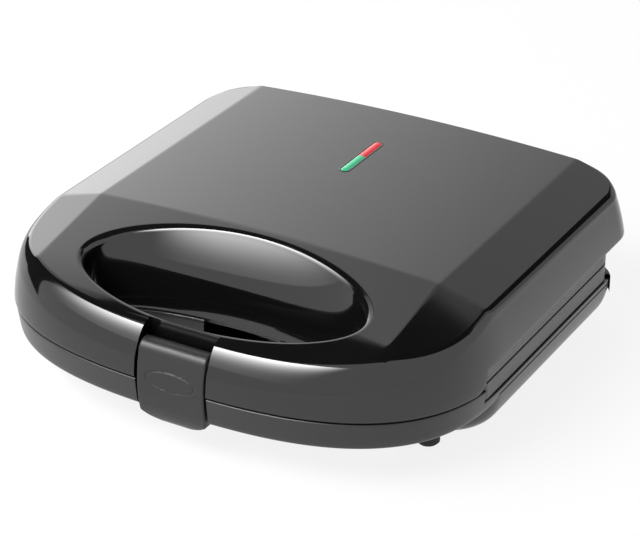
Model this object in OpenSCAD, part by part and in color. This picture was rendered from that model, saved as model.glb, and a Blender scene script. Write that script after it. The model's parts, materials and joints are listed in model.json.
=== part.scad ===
// Two-slice sandwich toaster: a hinged lid over a base, two cooking plates with triangular pockets,
// a hand hole through both casings and a latch that hangs from the lid and hooks under the base.
// X runs across, the front is at -Y, Z is up, and the origin lies between the feet on the table.

/* [Casings] */
// Width of the casings at the seam
body_w = 235; // [222:1:255]
// Depth of the casings from the front to the back
body_d = 226; // [220:1:245]
// Height of the lid's crown above the seam
lid_h = 39.8; // [38:0.1:48]
// Depth of the base's tub below the seam
tub_h = 27.5; // [26:0.1:36]
// Depth of the base's grip section below the seam
grip_h = 13.5; // [12:0.1:15]
// Wall thickness of the casings
wall = 2.4; // [2:0.1:3]
// Depth of the bowed front of the outline
bow_d = 85; // [75:1:95]
// Power of the bowed front's curve, 2 is an ellipse
bow_power = 2.67; // [2.3:0.01:3.2]
// Radius of the rear corners seen from above
rear_r = 23.6; // [20:0.2:30]
// Clear line between lid and base at the seam
seam_gap = 0.6; // [0.4:0.1:1]

/* [Lid top] */
// Width of the crowned centre panel
panel_w = 172.4; // [150:0.2:185]
// Height of the centre panel's crown
crown = 2.7; // [1.6:0.1:4.6]
// Fall of each side facet towards its edge
facet_drop = 6; // [4.6:0.1:7]
// Distance from the front at which the top begins to slope down
nose_d = 77.6; // [72:0.2:84]
// Fall of the top over the nose
nose_drop = 12.8; // [9:0.1:15]
// Inset of the top's edge from the side of the casing
edge_in = 9.9; // [8.6:0.1:11.4]
// Inset of the top's edge at the front
lip_in = 11.4; // [9:0.1:13]
// Lean of the lid's wall at its full height
wall_lean = 7; // [5:0.1:8]
// Height of the edge rounding along the sides
edge_h = 3.9; // [2.8:0.1:4.6]
// Height of the edge rounding at the front
lip_h = 13.3; // [10:0.1:15]

/* [Hand hole] */
// Width of the hand hole at the top
hole_w = 137; // [120:1:150]
// Size of the hand hole from front to back, at the top
hole_d = 53.6; // [48:0.2:56]
// Distance from the front to the hand hole's front wall
bar_d = 15; // [14.5:0.1:17]
// How far the hole's rear wall leans forward down to the seam
hole_lean = 10; // [6:0.5:12]
// Radius of the hole's rim
rim_r = 3.6; // [2:0.1:4.5]

/* [Latch] */
// Width of the notch for the latch
notch_w = 35.6; // [30:0.2:42]
// Depth of the lid's notch behind the front
notch_d = 13.3; // [12.8:0.1:13.6]
// Gap beside the latch
latch_gap = 1.2; // [0.6:0.1:2]
// Radius of the latch's barrel
barrel_r = 5.2; // [4.4:0.1:5.4]
// Radius of the latch pin
latch_pin_r = 1.5; // [1.2:0.1:2]
// How far the hook reaches under the base
hook_reach = 5; // [3:0.5:6.5]
// Drop of the latch's lower lip below the grip section
lip_drop = 7.4; // [5:0.1:8.4]

/* [Frames and plates] */
// Distance from the front to the frames
grip_d = 65.2; // [64:0.2:68]
// Distance from the frames to the back
rear_d = 22; // [20.4:0.2:25]
// Height of each frame's band
band_h = 7; // [6:0.1:8]
// Height of the parting plane between the frames above the seam
mid_h = 2; // [1.5:0.1:3]
// Gap between the two frames
band_gap = 1.2; // [0.8:0.1:1.6]
// Margin of the frames beside a cooking plate
frame_side = 6.6; // [6.2:0.1:8]
// Margin of the frames before and behind a cooking plate
frame_end = 5.7; // [5.2:0.1:8]
// Thickness of a plate's rim and floor
plate_t = 3; // [2.5:0.1:3.5]
// Depth of the pockets in each plate
pocket_h = 11; // [8:0.5:12]
// Margin of a plate round its pockets
plate_rim = 15; // [14.6:0.2:18]
// Gap between the two closed plates
plate_gap = 0.4; // [0.3:0.1:0.8]
// Radius of the heating elements
heater_r = 3.2; // [2.5:0.1:3.4]

/* [Hinge] */
// Distance of the hinge axis behind the frames
axis_d = 9.6; // [9:0.1:11]
// Radius of the hinge knuckles
knuckle_r = 6.2; // [5:0.1:6.4]
// Radius of the hinge pins
hinge_pin_r = 2; // [1.5:0.1:2.6]
// Distance of the hinges from the middle
hinge_x = 70; // [40:1:78]
// Width of a lid knuckle
knuckle_w = 12; // [8:0.5:16]
// Running clearance round the pins
fit = 0.05; // [0.02:0.01:0.08]

/* [Details] */
// Length of the indicator window
window_l = 36.6; // [30:0.1:42]
// Width of the indicator window
window_w = 5.8; // [5:0.1:7]
// Distance from the back to the window's middle
window_back = 60.6; // [54:0.2:76]
// Height of the feet below the tub
foot_h = 6; // [4:0.5:9]
// Radius of a foot
foot_r = 5.2; // [4.5:0.1:7]
// Distance of the feet from the middle, sideways
foot_x = 89; // [82:0.5:92]
// Radius of the screws that hold the casings
screw_r = 1.6; // [1.3:0.1:1.8]
// Radius of the screw posts
post_r = 4.5; // [4:0.1:5]

/* [Hidden] */

$fn = 48;
eps = 0.01;

// Heights: the table is at 0 and the seam is where the two casings meet.
seam_z = tub_h + foot_h;
mid_z = seam_z + mid_h;
grip_z = seam_z - grip_h;
lid_z0 = seam_z + seam_gap / 2;
base_z1 = seam_z - seam_gap / 2;

// Outline of the casings at the seam.
half_w = body_w / 2;
front_y = -body_d / 2;
back_y = body_d / 2;
bow_y = front_y + bow_d;
edge_half = half_w - edge_in;

// The two frames and the recess they show in, along the casings' sides.
recess_y = front_y + grip_d;
frame_y0 = recess_y + 1.4;
frame_y1 = back_y - rear_d;
frame_half = half_w - wall - 0.5;
frame_r = 17;
upper_z0 = mid_z + band_gap / 2;
upper_z1 = upper_z0 + band_h;
lower_z1 = mid_z - band_gap / 2;
lower_z0 = lower_z1 - band_h - 0.6;
lid_edge_z = upper_z1 + 0.3;
rim_z = lower_z0 - 0.7;
web_t = 2.3;

// Hinge axis, and the rear ledge that clears the lid's edge as it swings down.
axis_y = frame_y1 + axis_d;
axis_z = mid_z;
ledge_z = seam_z - 13.5;
ear_w = 5;
ear_gap = 0.4;
pin_end = hinge_x + knuckle_w / 2 + ear_gap + ear_w;
pin_start = hinge_x - knuckle_w / 2 - ear_gap - ear_w;

// Cooking plates, centred in the frames, with two sandwiches' pockets side by side.
plate_y = (frame_y0 + frame_y1) / 2;
plate_w = 2 * (frame_half - frame_side);
plate_d = frame_y1 - frame_y0 - 2 * frame_end;
pocket_gap = 10;
pocket_w = plate_w / 2 - pocket_gap / 2 - plate_rim;
pocket_d = plate_d - 2 * plate_rim;
plate_fit = 0.3;
seat_w = 3.6;
lower_top = mid_z - plate_gap / 2;
upper_top = mid_z + plate_gap / 2;
lower_seat = lower_top - plate_t;
upper_seat = upper_top + plate_t;
plate_depth = pocket_h + plate_t;
lower_floor = lower_top - plate_depth;
upper_floor = upper_top + plate_depth;
pocket_x = pocket_gap / 2 + pocket_w / 2;
pocket_in = 7;
tab_x = plate_w / 2 - 8;
tab_y = plate_d / 2 - 7;
plate_screw_x = plate_w / 4;
plate_screw_y = plate_d / 2 - 7.5;

// Heating elements, half sunk in the plates' backs.
heater_sink = heater_r / 2;
heater_x = plate_w / 3;
heater_bend = 14;
tail_x = 18;
tail_bend = 8;
tail_y = pocket_d / 2 - 5;
heater_y = tail_y - tail_bend - 5;
heat_drop = heater_r * 2 - heater_sink;

// Reflector trays.
tray_t = 0.8;
tray_x = plate_w / 2 - 11;
tray_y = plate_d / 2 - 12.5;
tray_gap = 1.5;
post_z = seam_z - 11.5;
lower_tray = lower_floor - heat_drop - tray_gap - tray_t;
upper_tray = upper_floor + heat_drop + tray_gap + tray_t;

// Screws.
head_r = 3;
head_h = 1.8;
screw_fit = 0.15;

// Latch, hung from a pin across the lid's notch.
pivot_y = front_y + notch_d - barrel_r - 0.7;
pivot_z = seam_z + 12.4;
face_y = front_y + 0.2;
latch_half = notch_w / 2 - latch_gap;
base_notch_d = 9.6;
lip_r = 40;

// Indicator window in the crown of the lid.
window_cy = back_y - window_back;
crown_z = seam_z + lid_h;
flange_z = crown_z - wall - 2;
flange_t = 1.4;
lens_fit = 0.1;
bezel_w = 0.7;
lens_rise = 0.5;
lens_dome = 3.3;
carrier_h = 9;

function mix(a, b, t) = a + (b - a) * t;
function clamp01(v) = min(1, max(0, v));
function unit(v) = v / norm(v);
function sum(list) = [for (i = [0:len(list) - 1]) 1] * list;
function middle(ring) = sum(ring) / len(ring);

// Points on the right half of the seam outline, from the front centre to the back.
bow_steps = 18;
side_steps = 5;
corner_steps = 6;
function bow_point(t) = [half_w * pow(cos(t), 2 / bow_power), bow_y - bow_d * pow(sin(t), 2 / bow_power)];
right_half = concat(
    [for (i = [bow_steps:-1:1]) bow_point(90 * i / bow_steps)],
    [for (i = [0:side_steps - 1]) [half_w, mix(bow_y, back_y - rear_r, i / side_steps)]],
    [for (i = [0:corner_steps]) [half_w - rear_r * (1 - cos(90 * i / corner_steps)),
        back_y - rear_r * (1 - sin(90 * i / corner_steps))]],
    [[0, back_y]]);
// The whole outline, anticlockwise from the front centre, and its outward directions.
outline = concat(right_half,
    [for (i = [len(right_half) - 2:-1:1]) [-right_half[i][0], right_half[i][1]]]);
function normals(line) = [for (i = [0:len(line) - 1])
    let (d = unit(line[(i + 1) % len(line)] - line[(i + len(line) - 1) % len(line)])) [d[1], -d[0]]];
outward = normals(outline);
count = len(outline);
function inset(i, d) = outline[i] - outward[i] * d;
// How far a point of the outline faces the front: 0 along the sides and back, 1 at the front centre.
function facing(i) = outline[i][1] < bow_y ? max(0, -outward[i][1]) : 0;

// Height of the lid's top over a point, with its crowned panel, side facets and sloping nose.
function nose(y) = clamp01((front_y + nose_d - y) / (nose_d - lip_in));
function top_z(x, y) =
    let (u = nose(y), p = panel_w / 2, a = abs(x))
    crown_z - crown - nose_drop * u
    + (a < p ? crown * (1 - 0.8 * u) * (1 - pow(a / p, 2)) : -facet_drop * (a - p) / (edge_half - p));

// A closed skin through rings of points, from the lowest ring to the highest.
module loft(rings) {
    n = len(rings[0]);
    m = len(rings);
    points = concat([for (r = rings) each r], [middle(rings[0]), middle(rings[m - 1])]);
    sides = [for (k = [0:m - 2]) for (i = [0:n - 1]) let (j = (i + 1) % n) each [
        [k * n + i, (k + 1) * n + i, k * n + j], [k * n + j, (k + 1) * n + i, (k + 1) * n + j]]];
    lower = [for (i = [0:n - 1]) [i, (i + 1) % n, m * n]];
    upper = [for (i = [0:n - 1]) [(m - 1) * n + (i + 1) % n, (m - 1) * n + i, m * n + 1]];
    polyhedron(points, concat(sides, lower, upper), convexity = 6);
}

// Joins a moulding and its cuts into one mesh, at its own size.
module moulding() resize([0, 0, 0]) children();
// Extrudes a profile drawn in Y and Z along X, centred.
module along_x(length) rotate([90, 0, 90]) linear_extrude(length, center = true) children();
module both_sides() { children(); mirror([1, 0, 0]) children(); }
// Repeats something at the four places around the plates' centre.
module at_four(x, y) for (sx = [-1, 1]) for (sy = [-1, 1]) translate([sx * x, plate_y + sy * y, 0]) children();
// A rectangle with rounded front and rear corners.
module plan(x, y0, y1, rf, rr) {
    translate([-x, y0 + rf]) square([2 * x, y1 - y0 - rf - rr]);
    translate([-x + rf, y0]) square([2 * (x - rf), rf + eps]);
    translate([-x + rr, y1 - rr - eps]) square([2 * (x - rr), rr + eps]);
    for (s = [-1, 1]) {
        translate([s * (x - rf), y0 + rf]) circle(rf);
        translate([s * (x - rr), y1 - rr]) circle(rr);
    }
}
module centred_plan(x, y, r) plan(x, plate_y - y, plate_y + y, r, r);
// A screw whose head lies below z and whose shank rises by length, with a slot in the head.
module screw(z, length) difference() {
    union() {
        translate([0, 0, z - head_h]) cylinder(h = head_h, r = head_r);
        translate([0, 0, z - eps]) cylinder(h = length + eps, r = screw_r);
    }
    translate([-head_r, -0.4, z - head_h - 1]) cube([2 * head_r, 0.8, 1.8]);
}
module flipped(z) translate([0, 0, z]) mirror([0, 0, 1]) translate([0, 0, -z]) children();

// ---------------------------------------------------------------- lid casing
// The wall leans in slowly, then rounds over to the top's edge, widest at the front.
function lean(z) = wall_lean * pow(max(0, z - seam_z) / (lid_h - crown - facet_drop), 1.63);
function edge_inset(i) = let (q = facing(i)) mix(edge_in, lip_in, q * q) - 3.2 * q * (1 - q);
function edge_point(i) = inset(i, edge_inset(i));
function edge_z(i) = top_z(edge_point(i)[0], edge_point(i)[1]);
function wall_top(i) = edge_z(i) - mix(edge_h, lip_h, pow(facing(i), 1.5));
function lid_wall_ring(f) = [for (i = [0:count - 1])
    let (z = mix(seam_z, wall_top(i), f), p = inset(i, lean(z))) [p[0], p[1], z]];
// The rounding is a Bezier curve from the wall to the top.
function bezier(a, b, c, d, t) = pow(1 - t, 3) * a + 3 * pow(1 - t, 2) * t * b
    + 3 * (1 - t) * t * t * c + pow(t, 3) * d;
function lid_round_ring(t) = [for (i = [0:count - 1])
    let (q = facing(i), z0 = wall_top(i), z1 = edge_z(i), d0 = lean(z0), d1 = edge_inset(i),
        steep = mix(82, 68, q), h = (z1 - z0) * 0.5, w = (d1 - d0) * 0.45,
        e = bezier([d0, z0], [d0 + h / tan(steep), z0 + h], [d1 - w, z1 - w * tan(15)], [d1, z1], t),
        p = inset(i, e[0])) [p[0], p[1], e[1]]];
// Rings across the top. The first lies along the creases between the panel and its facets.
function lid_top_ring(sx, sy) = [for (i = [0:count - 1])
    let (e = edge_point(i), x = e[0] * sx, y = mix(plate_y, e[1], sy)) [x, y, top_z(x, y)]];
module lid_outer() loft(concat(
    [for (f = [0, 0.3, 0.65, 1]) lid_wall_ring(f)],
    [for (t = [0.2, 0.45, 0.7, 1]) lid_round_ring(t)],
    [lid_top_ring(panel_w / 2 / edge_half, 0.97), lid_top_ring(0.62, 0.75), lid_top_ring(0.38, 0.47),
        lid_top_ring(0.1, 0.2)]));
// The hollow inside keeps one wall's thickness.
function lid_inner_ring(f) = [for (i = [0:count - 1])
    let (z = mix(seam_z - 1, wall_top(i) - wall, f), p = inset(i, lean(z) + wall)) [p[0], p[1], z]];
function lid_inner_top(sx, sy) = [for (i = [0:count - 1])
    let (e = inset(i, edge_inset(i) + wall), x = e[0] * sx, y = mix(plate_y, e[1], sy))
    [x, y, top_z(x, y) - wall - 0.2]];
module lid_inner() loft([lid_inner_ring(0), lid_inner_ring(0.5), lid_inner_ring(1), lid_inner_top(1, 1),
    lid_inner_top(0.78, 0.96), lid_inner_top(0.5, 0.62), lid_inner_top(0.2, 0.2)]);

// ---------------------------------------------------------------- hand hole
hole_steps = 44;
hole_front = front_y + bar_d;
hole_back = hole_front + hole_d;
// One point of the hole's wall: f is 0 at the seam and 1 at the top, and grow moves it outwards.
function hole_point(a, f, grow) =
    let (y0 = mix(hole_front + 2, hole_front, f), y1 = mix(hole_back - hole_lean, hole_back, f),
        w = hole_w / 2 - 2.5 * (1 - f))
    [(w + grow) * cos(a), (y0 + y1) / 2 + ((y1 - y0) / 2 + grow) * sin(a)];
function hole_ring(f, grow) = [for (k = [0:hole_steps - 1])
    let (p = hole_point(360 * k / hole_steps, f, grow))
    [p[0], p[1], mix(seam_z, top_z(p[0], p[1]) - rim_r, f)]];
// The rim rounds outwards by an arc, wider along the back.
function rim_ring(g, grow) = [for (k = [0:hole_steps - 1])
    let (a = 360 * k / hole_steps, r = rim_r * (1 + 0.4 * max(0, sin(a))),
        p = hole_point(a, 1, grow + r * (1 - cos(g)))) [p[0], p[1], top_z(p[0], p[1]) - rim_r * (1 - sin(g))]];
function lifted(ring, dz) = [for (p = ring) p + [0, 0, dz]];
module lid_hole(grow) loft([lifted(hole_ring(0, grow), -1), hole_ring(0.5, grow), hole_ring(1, grow),
    rim_ring(35, grow), rim_ring(65, grow), rim_ring(88, grow), lifted(rim_ring(95, grow), 6)]);
function flat_ring(z, grow) = [for (k = [0:hole_steps - 1])
    let (p = hole_point(360 * k / hole_steps, (z - seam_z) / lid_h / 2, grow)) [p[0], p[1], z]];
module base_hole(grow) loft([flat_ring(grip_z - 1, grow + 2.6), flat_ring(grip_z, grow + 1.9),
    flat_ring(grip_z + 1.4, grow + 0.6), flat_ring(grip_z + 3, grow), flat_ring(seam_z + 1, grow)]);
// The hole's plan at one height, for the webs that close the casings' grips.
module hole_plan(f, grow) polygon([for (k = [0:hole_steps - 1]) hole_point(360 * k / hole_steps, f, grow)]);

// Space for the latch in the lid and in the base.
module lid_notch(grow) translate([-notch_w / 2 - grow, front_y - 5, seam_z - 2])
    cube([notch_w + 2 * grow, notch_d + 5 + grow, lid_h + 4]);
module base_notch(grow) translate([-notch_w / 2 - grow, front_y - 5, grip_z - 5])
    cube([notch_w + 2 * grow, base_notch_d + 5 + grow, grip_h + 10]);
module latch_pin_bore() translate([0, pivot_y, pivot_z]) rotate([0, 90, 0])
    cylinder(h = notch_w + 14, r = latch_pin_r, center = true, $fn = 32);

// The edge of the lid rises behind the grip to show the frames.
lid_corner = 8;
module lid_recess() along_x(body_w + 10) polygon(concat(
    [[recess_y - lid_corner - 1, seam_z - 5]],
    [for (a = [0:15:90]) [recess_y - lid_corner * (1 - sin(a)), lid_z0 + lid_corner * (1 - cos(a))]],
    [[recess_y, lid_edge_z], [back_y + 5, lid_edge_z], [back_y + 5, seam_z - 5]]));
// Bosses that take the upper frame's screws, and the shelf that closes the lid behind the frame.
module lid_bosses() at_four(tab_x, tab_y) translate([0, 0, upper_z1 + tray_t]) cylinder(h = lid_h, r = 5, $fn = 24);
module lid_shelf() difference() {
    translate([-half_w, recess_y - 2.2, lid_edge_z - 0.7]) cube([body_w, body_d, 0.7 + wall]);
    translate([0, 0, lid_edge_z - 2]) linear_extrude(wall + 4)
        plan(frame_half - 2, recess_y - 14, frame_y1 + 0.4, 2, frame_r);
}
module window_pad() translate([-7, window_cy - window_l / 2 - 9.5, flange_z]) cube([14, window_l + 19, 6]);
module window_slot(grow, z, h) translate([0, window_cy, z]) linear_extrude(h) {
    r = window_w / 2 + grow;
    square([2 * r, window_l - window_w], center = true);
    for (s = [-1, 1]) translate([0, s * (window_l - window_w) / 2]) circle(r);
}
module carrier_places() for (s = [-1, 1]) translate([0, window_cy + s * (window_l / 2 + 6), 0]) children();
module lid_casing() color([0.72, 0.74, 0.77]) moulding() difference() {
    lid_outer();
    difference() {
        lid_inner();
        lid_hole(wall);
        lid_notch(wall);
        lid_bosses();
        lid_shelf();
        window_pad();
    }
    lid_hole(0);
    lid_notch(0);
    lid_recess();
    translate([0, 0, lid_z0 - 5]) cube([body_w + 10, body_d + 10, 10], center = true);
    latch_pin_bore();
    window_slot(lens_fit, flange_z - 1, 12);
    at_four(tab_x, tab_y) translate([0, 0, upper_z1]) cylinder(h = 11, r = screw_r + screw_fit, $fn = 20);
    carrier_places() translate([0, 0, flange_z - 1]) cylinder(h = 4.4, r = screw_r + screw_fit, $fn = 20);
}

// ---------------------------------------------------------------- base casing
function base_ring(z, d) = [for (i = [0:count - 1])
    let (p = inset(i, d * mix(1, 0.6, facing(i)))) [p[0], p[1], z]];
module base_grip(t) loft(t == 0
    ? [base_ring(grip_z, 5.4), base_ring(grip_z + 0.8, 3.9), base_ring(grip_z + 2.4, 2.9),
        base_ring(seam_z - 7.4, 1.9), base_ring(base_z1, 0.7)]
    : [base_ring(grip_z + t, 5.6 + t), base_ring(seam_z - 7.6, 1.9 + t), base_ring(seam_z + 2, 0.7 + t)]);
// Closed line round the tub, inset by d.
tub_y = front_y + 54.6;
tub_r = 28;
tub_back = back_y - 4.8;
tub_rear_r = rear_r + 7.6;
function tub_ring(z, d) = concat(
    [for (i = [0:7]) tub_corner(half_w - tub_r, tub_y + tub_r, tub_r, -90 + 90 * i / 7, d, z)],
    [for (i = [0:7]) tub_corner(half_w - tub_rear_r, tub_back - tub_rear_r, tub_rear_r, 90 * i / 7, d, z)],
    [for (i = [0:7]) tub_corner(tub_rear_r - half_w, tub_back - tub_rear_r, tub_rear_r, 90 + 90 * i / 7, d, z)],
    [for (i = [0:7]) tub_corner(tub_r - half_w, tub_y + tub_r, tub_r, 180 + 90 * i / 7, d, z)]);
function tub_corner(x, y, r, a, d, z) = [x + (r - d) * cos(a), y + (r - d) * sin(a), z];
module tub(t) loft([tub_ring(foot_h + t, 15 + t / 2), tub_ring(foot_h + 0.03 * tub_h + t, 11.5 + t / 2),
    tub_ring(foot_h + 0.127 * tub_h + t, 6.8 + t * 0.8), tub_ring(foot_h + 0.29 * tub_h + t / 2, 4 + t),
    tub_ring(grip_z + 3.6, 2.2 + t)]);
// The rim drops for the frames and falls to a ledge beside the hinges.
bump_y = frame_y1 - 15;
module base_recess() along_x(body_w + 10) polygon(concat(
    [[recess_y, seam_z + 5], [recess_y, rim_z]],
    [for (a = [90:-15:15]) [bump_y + 12 * cos(a), ledge_z + (rim_z - ledge_z) * sin(a)]],
    [[bump_y + 12, ledge_z], [back_y + 5, ledge_z], [back_y + 5, seam_z + 5]]));
module rear_shelf() difference() {
    translate([-half_w, frame_y1 - 6, ledge_z - wall]) cube([body_w, body_d, wall]);
    translate([-pin_end - 6, frame_y1 - 7, ledge_z - wall - 1]) cube([2 * pin_end + 12, 7.4, wall + 2]);
}
// The low wall that stands on the ledge round the back of the frame.
module rear_wall() translate([0, 0, ledge_z - wall - 0.5]) linear_extrude(rim_z + 0.4 - ledge_z + wall + 0.5)
    difference() {
        plan(frame_half + 0.4 + wall, frame_y0, frame_y1 + 0.4 + wall, 1, frame_r + wall);
        plan(frame_half + 0.4, frame_y0 - 2, frame_y1 + 0.4, 1, frame_r);
        translate([-half_w, frame_y0 - 3]) square([body_w, bump_y + 3 - frame_y0 + 3]);
    }
module base_posts() {
    at_four(tab_x, tab_y) translate([0, 0, foot_h + eps]) cylinder(h = post_z - foot_h - eps, r = post_r + 0.7, $fn = 24);
    both_sides() translate([grip_screw_x, grip_screw_y, grip_z + eps]) cylinder(h = 6.4 - eps, r = post_r, $fn = 24);
}
grip_screw_x = 88;
grip_screw_y = front_y + 41;
sink_z = foot_h + 8.5;
foot_front = front_y + 65;
foot_back = back_y - 28.4;
gland_x = -42;
gland_z = ledge_z - 6.6;
gland_pad = tub_back - 2.7;
module foot_places() for (y = [foot_front, foot_back]) both_sides() translate([foot_x, y, 0]) children();
module gland_axis() translate([gland_x, 0, gland_z]) rotate([-90, 0, 0]) children();
module vents() for (s = [-1, 1]) for (i = [-3:3])
    translate([s * 52 + i * 6 - 1.2, plate_y - 16, foot_h - 1]) cube([2.4, 34, wall + 3]);
// A grip's loft, kept within the tub's rear corners less t.
module base_grip_within(t) intersection() {
    base_grip(t);
    linear_extrude(seam_z + 5) plan(half_w + 1, front_y - 5, tub_back - t, 1, tub_rear_r - t);
}
module base_casing() color([0.33, 0.34, 0.36]) moulding() difference() {
    union() {
        base_grip_within(0);
        tub(0);
        foot_places() translate([0, 0, foot_h]) cylinder(h = grip_h, r = foot_r + 1.5, $fn = 32);
        gland_axis() translate([0, 0, gland_pad - 8]) cylinder(h = 8, r = 6.4, $fn = 32);
    }
    difference() {
        union() {
            base_grip_within(wall);
            tub(wall);
        }
        base_hole(wall);
        base_notch(wall);
        base_posts();
        rear_shelf();
        rear_wall();
        gland_axis() translate([0, 0, gland_pad - 7]) cylinder(h = 8, r = 6.4, $fn = 32);
    }
    base_hole(0);
    base_notch(0);
    difference() {
        base_recess();
        rear_wall();
    }
    translate([0, 0, rim_z + 0.3]) linear_extrude(20) plan(frame_half + 0.35, bump_y - 14, frame_y1 + 0.4, 1, frame_r);
    at_four(tab_x, tab_y) {
        translate([0, 0, foot_h - 1]) cylinder(h = sink_z - foot_h + 1, r = head_r + 0.3, $fn = 24);
        translate([0, 0, foot_h]) cylinder(h = 30, r = screw_r + screw_fit, $fn = 20);
    }
    both_sides() translate([grip_screw_x, grip_screw_y, grip_z - 1]) {
        cylinder(h = 1 + head_h + 0.4, r = head_r + 0.3, $fn = 24);
        cylinder(h = 12, r = screw_r + screw_fit, $fn = 20);
    }
    gland_axis() translate([0, 0, back_y - 25]) cylinder(h = 30, r = gland_r + 0.2, $fn = 32);
    vents();
}
gland_r = 3.9;

// ---------------------------------------------------------------- feet and screws of the base
module feet() color([0.12, 0.12, 0.13]) foot_places() rotate_extrude()
    polygon([[0, 0], [foot_r - 1, 0], [foot_r, 1], [foot_r, foot_h], [0, foot_h]]);
module casing_screws() color([0.75, 0.76, 0.78]) {
    at_four(tab_x, tab_y) screw(sink_z, lower_z0 + 3 - sink_z);
    both_sides() translate([grip_screw_x, grip_screw_y, 0]) screw(grip_z + head_h + 0.4, 7.4);
}

// ---------------------------------------------------------------- frames
// The bowed web that closes a casing's grip, inset by d and ending at y.
function web_side(d, y) = let (p = [for (i = [0:len(right_half) - 1]) if (inset(i, d)[1] < y) inset(i, d)])
    concat(p, [[p[len(p) - 1][0], y]]);
module web_plan(d, y) polygon(concat(web_side(d, y),
    [for (i = [len(web_side(d, y)) - 1:-1:1]) [-web_side(d, y)[i][0], web_side(d, y)[i][1]]]));
module web(d, y, notch) difference() {
    web_plan(d, y);
    hole_plan(0.08, wall + 0.4);
    translate([-notch_w / 2 - wall - 0.4, front_y - 5]) square([notch_w + 2 * wall + 0.8, notch + 5 + wall + 0.4]);
}
// The frame's band with its plate opening, between two heights.
module band(z0, z1, seat, z_out) difference() {
    translate([0, 0, z0]) linear_extrude(z1 - z0) plan(frame_half, frame_y0, frame_y1, 2, frame_r);
    translate([0, 0, z0 - 1]) linear_extrude(z1 - z0 + 2)
        centred_plan(plate_w / 2 + plate_fit - seat_w, plate_d / 2 + plate_fit - seat_w, 5);
    translate([0, 0, min(seat, z_out)]) linear_extrude(abs(z_out - seat))
        centred_plan(plate_w / 2 + plate_fit, plate_d / 2 + plate_fit, 5);
}
// Corner tabs carry the long screws, and small tabs between them the plate's screws.
module tabs(z0, z1, zs, ze) {
    for (sx = [-1, 1]) for (sy = [-1, 1]) {
        translate([sx * (tab_x + 0.25), plate_y + sy * (tab_y - 0.5), (z0 + z1) / 2]) cube([11.5, 10, z1 - z0], center = true);
        translate([sx * plate_screw_x, plate_y + sy * (plate_screw_y + 0.5), (zs + ze) / 2]) cube([9, 8, ze - zs], center = true);
    }
}
module screw_bores(z0, z1) {
    at_four(tab_x, tab_y) translate([0, 0, z0]) cylinder(h = z1 - z0, r = screw_r + screw_fit);
    at_four(plate_screw_x, plate_screw_y) translate([0, 0, z0]) cylinder(h = z1 - z0, r = screw_r + screw_fit);
}
module hinge_eye(x, w) translate([x, axis_y, axis_z]) rotate([0, 90, 0]) cylinder(h = w, r = knuckle_r, center = true);
module hinge_bore() translate([0, axis_y, axis_z]) rotate([0, 90, 0])
    cylinder(h = body_w, r = hinge_pin_r + fit, center = true);
module hinge_arm(x, w, z0, z1, into) translate([x - w / 2, frame_y1 - into, z0]) cube([w, axis_d + into, z1 - z0]);
module lower_frame() color([0.42, 0.43, 0.45]) difference() {
    union() {
        band(lower_z0, lower_z1, lower_seat, lower_z1 + 1);
        tabs(lower_z0, lower_seat, lower_seat - 3, lower_seat);
        at_four(tab_x, tab_y) translate([0, 0, post_z + tray_t]) cylinder(h = lower_z0 - post_z - tray_t + 1, r = post_r);
    }
    screw_bores(post_z, lower_z0 + 3.4);
    at_four(plate_screw_x, plate_screw_y) translate([0, 0, lower_z0]) cylinder(h = 10, r = screw_r + screw_fit);
}
// Closes the base's grip in front of the frame.
module base_web() color([0.42, 0.43, 0.45]) difference() {
    union() {
        translate([0, 0, base_z1 - 0.6 - web_t]) linear_extrude(web_t) web(wall + 1.7, frame_y0, base_notch_d);
        both_sides() translate([grip_screw_x, grip_screw_y, grip_z + 6.4])
            cylinder(h = base_z1 - 0.6 - web_t - grip_z - 6.4 + 1, r = post_r);
    }
    both_sides() translate([grip_screw_x, grip_screw_y, grip_z]) cylinder(h = base_z1 - 1 - grip_z, r = screw_r + screw_fit);
}
// Two ears at each hinge, joined by a plate against the back of the lower frame.
bracket_t = 2.2;
module hinge_brackets() color([0.42, 0.43, 0.45]) difference() {
    both_sides() {
        translate([pin_start, frame_y1, axis_z - knuckle_r])
            cube([pin_end - pin_start, bracket_t, lower_z1 - axis_z + knuckle_r]);
        for (s = [-1, 1]) {
            x = hinge_x + s * (knuckle_w / 2 + ear_gap + ear_w / 2);
            hinge_arm(x, ear_w, axis_z - knuckle_r, lower_z1, 0);
            hinge_eye(x, ear_w);
        }
    }
    hinge_bore();
}
riser_y = recess_y - lid_corner - 3.4;
// Closes the lid's grip and steps up to the upper frame.
module lid_web() color([0.42, 0.43, 0.45]) difference() {
    union() {
        difference() {
            translate([0, 0, lid_z0]) linear_extrude(web_t) web(wall + 0.9, recess_y - 1, notch_d);
            translate([-half_w, recess_y - lid_corner - 2, lid_z0 - 1]) cube([body_w, lid_corner + 2, 1 + lid_corner / 3]);
        }
        intersection() {
            along_x(2 * frame_half) polygon([[riser_y, lid_z0], [riser_y + 3, lid_z0], [riser_y + 3, upper_z1 - 3],
                [frame_y0, upper_z1 - 3], [frame_y0, upper_z1], [riser_y, upper_z1]]);
            translate([0, 0, lid_z0 - 1]) linear_extrude(lid_h) web_plan(wall + 2, frame_y0 + 3);
        }
    }
    translate([0, 0, lid_z0 - 1]) linear_extrude(web_t + 2) hole_plan(0.08, wall + 0.4);
    translate([0, 0, lid_z0 + web_t]) linear_extrude(lid_h) hole_plan(0.38, wall + 0.4);
}
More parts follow.
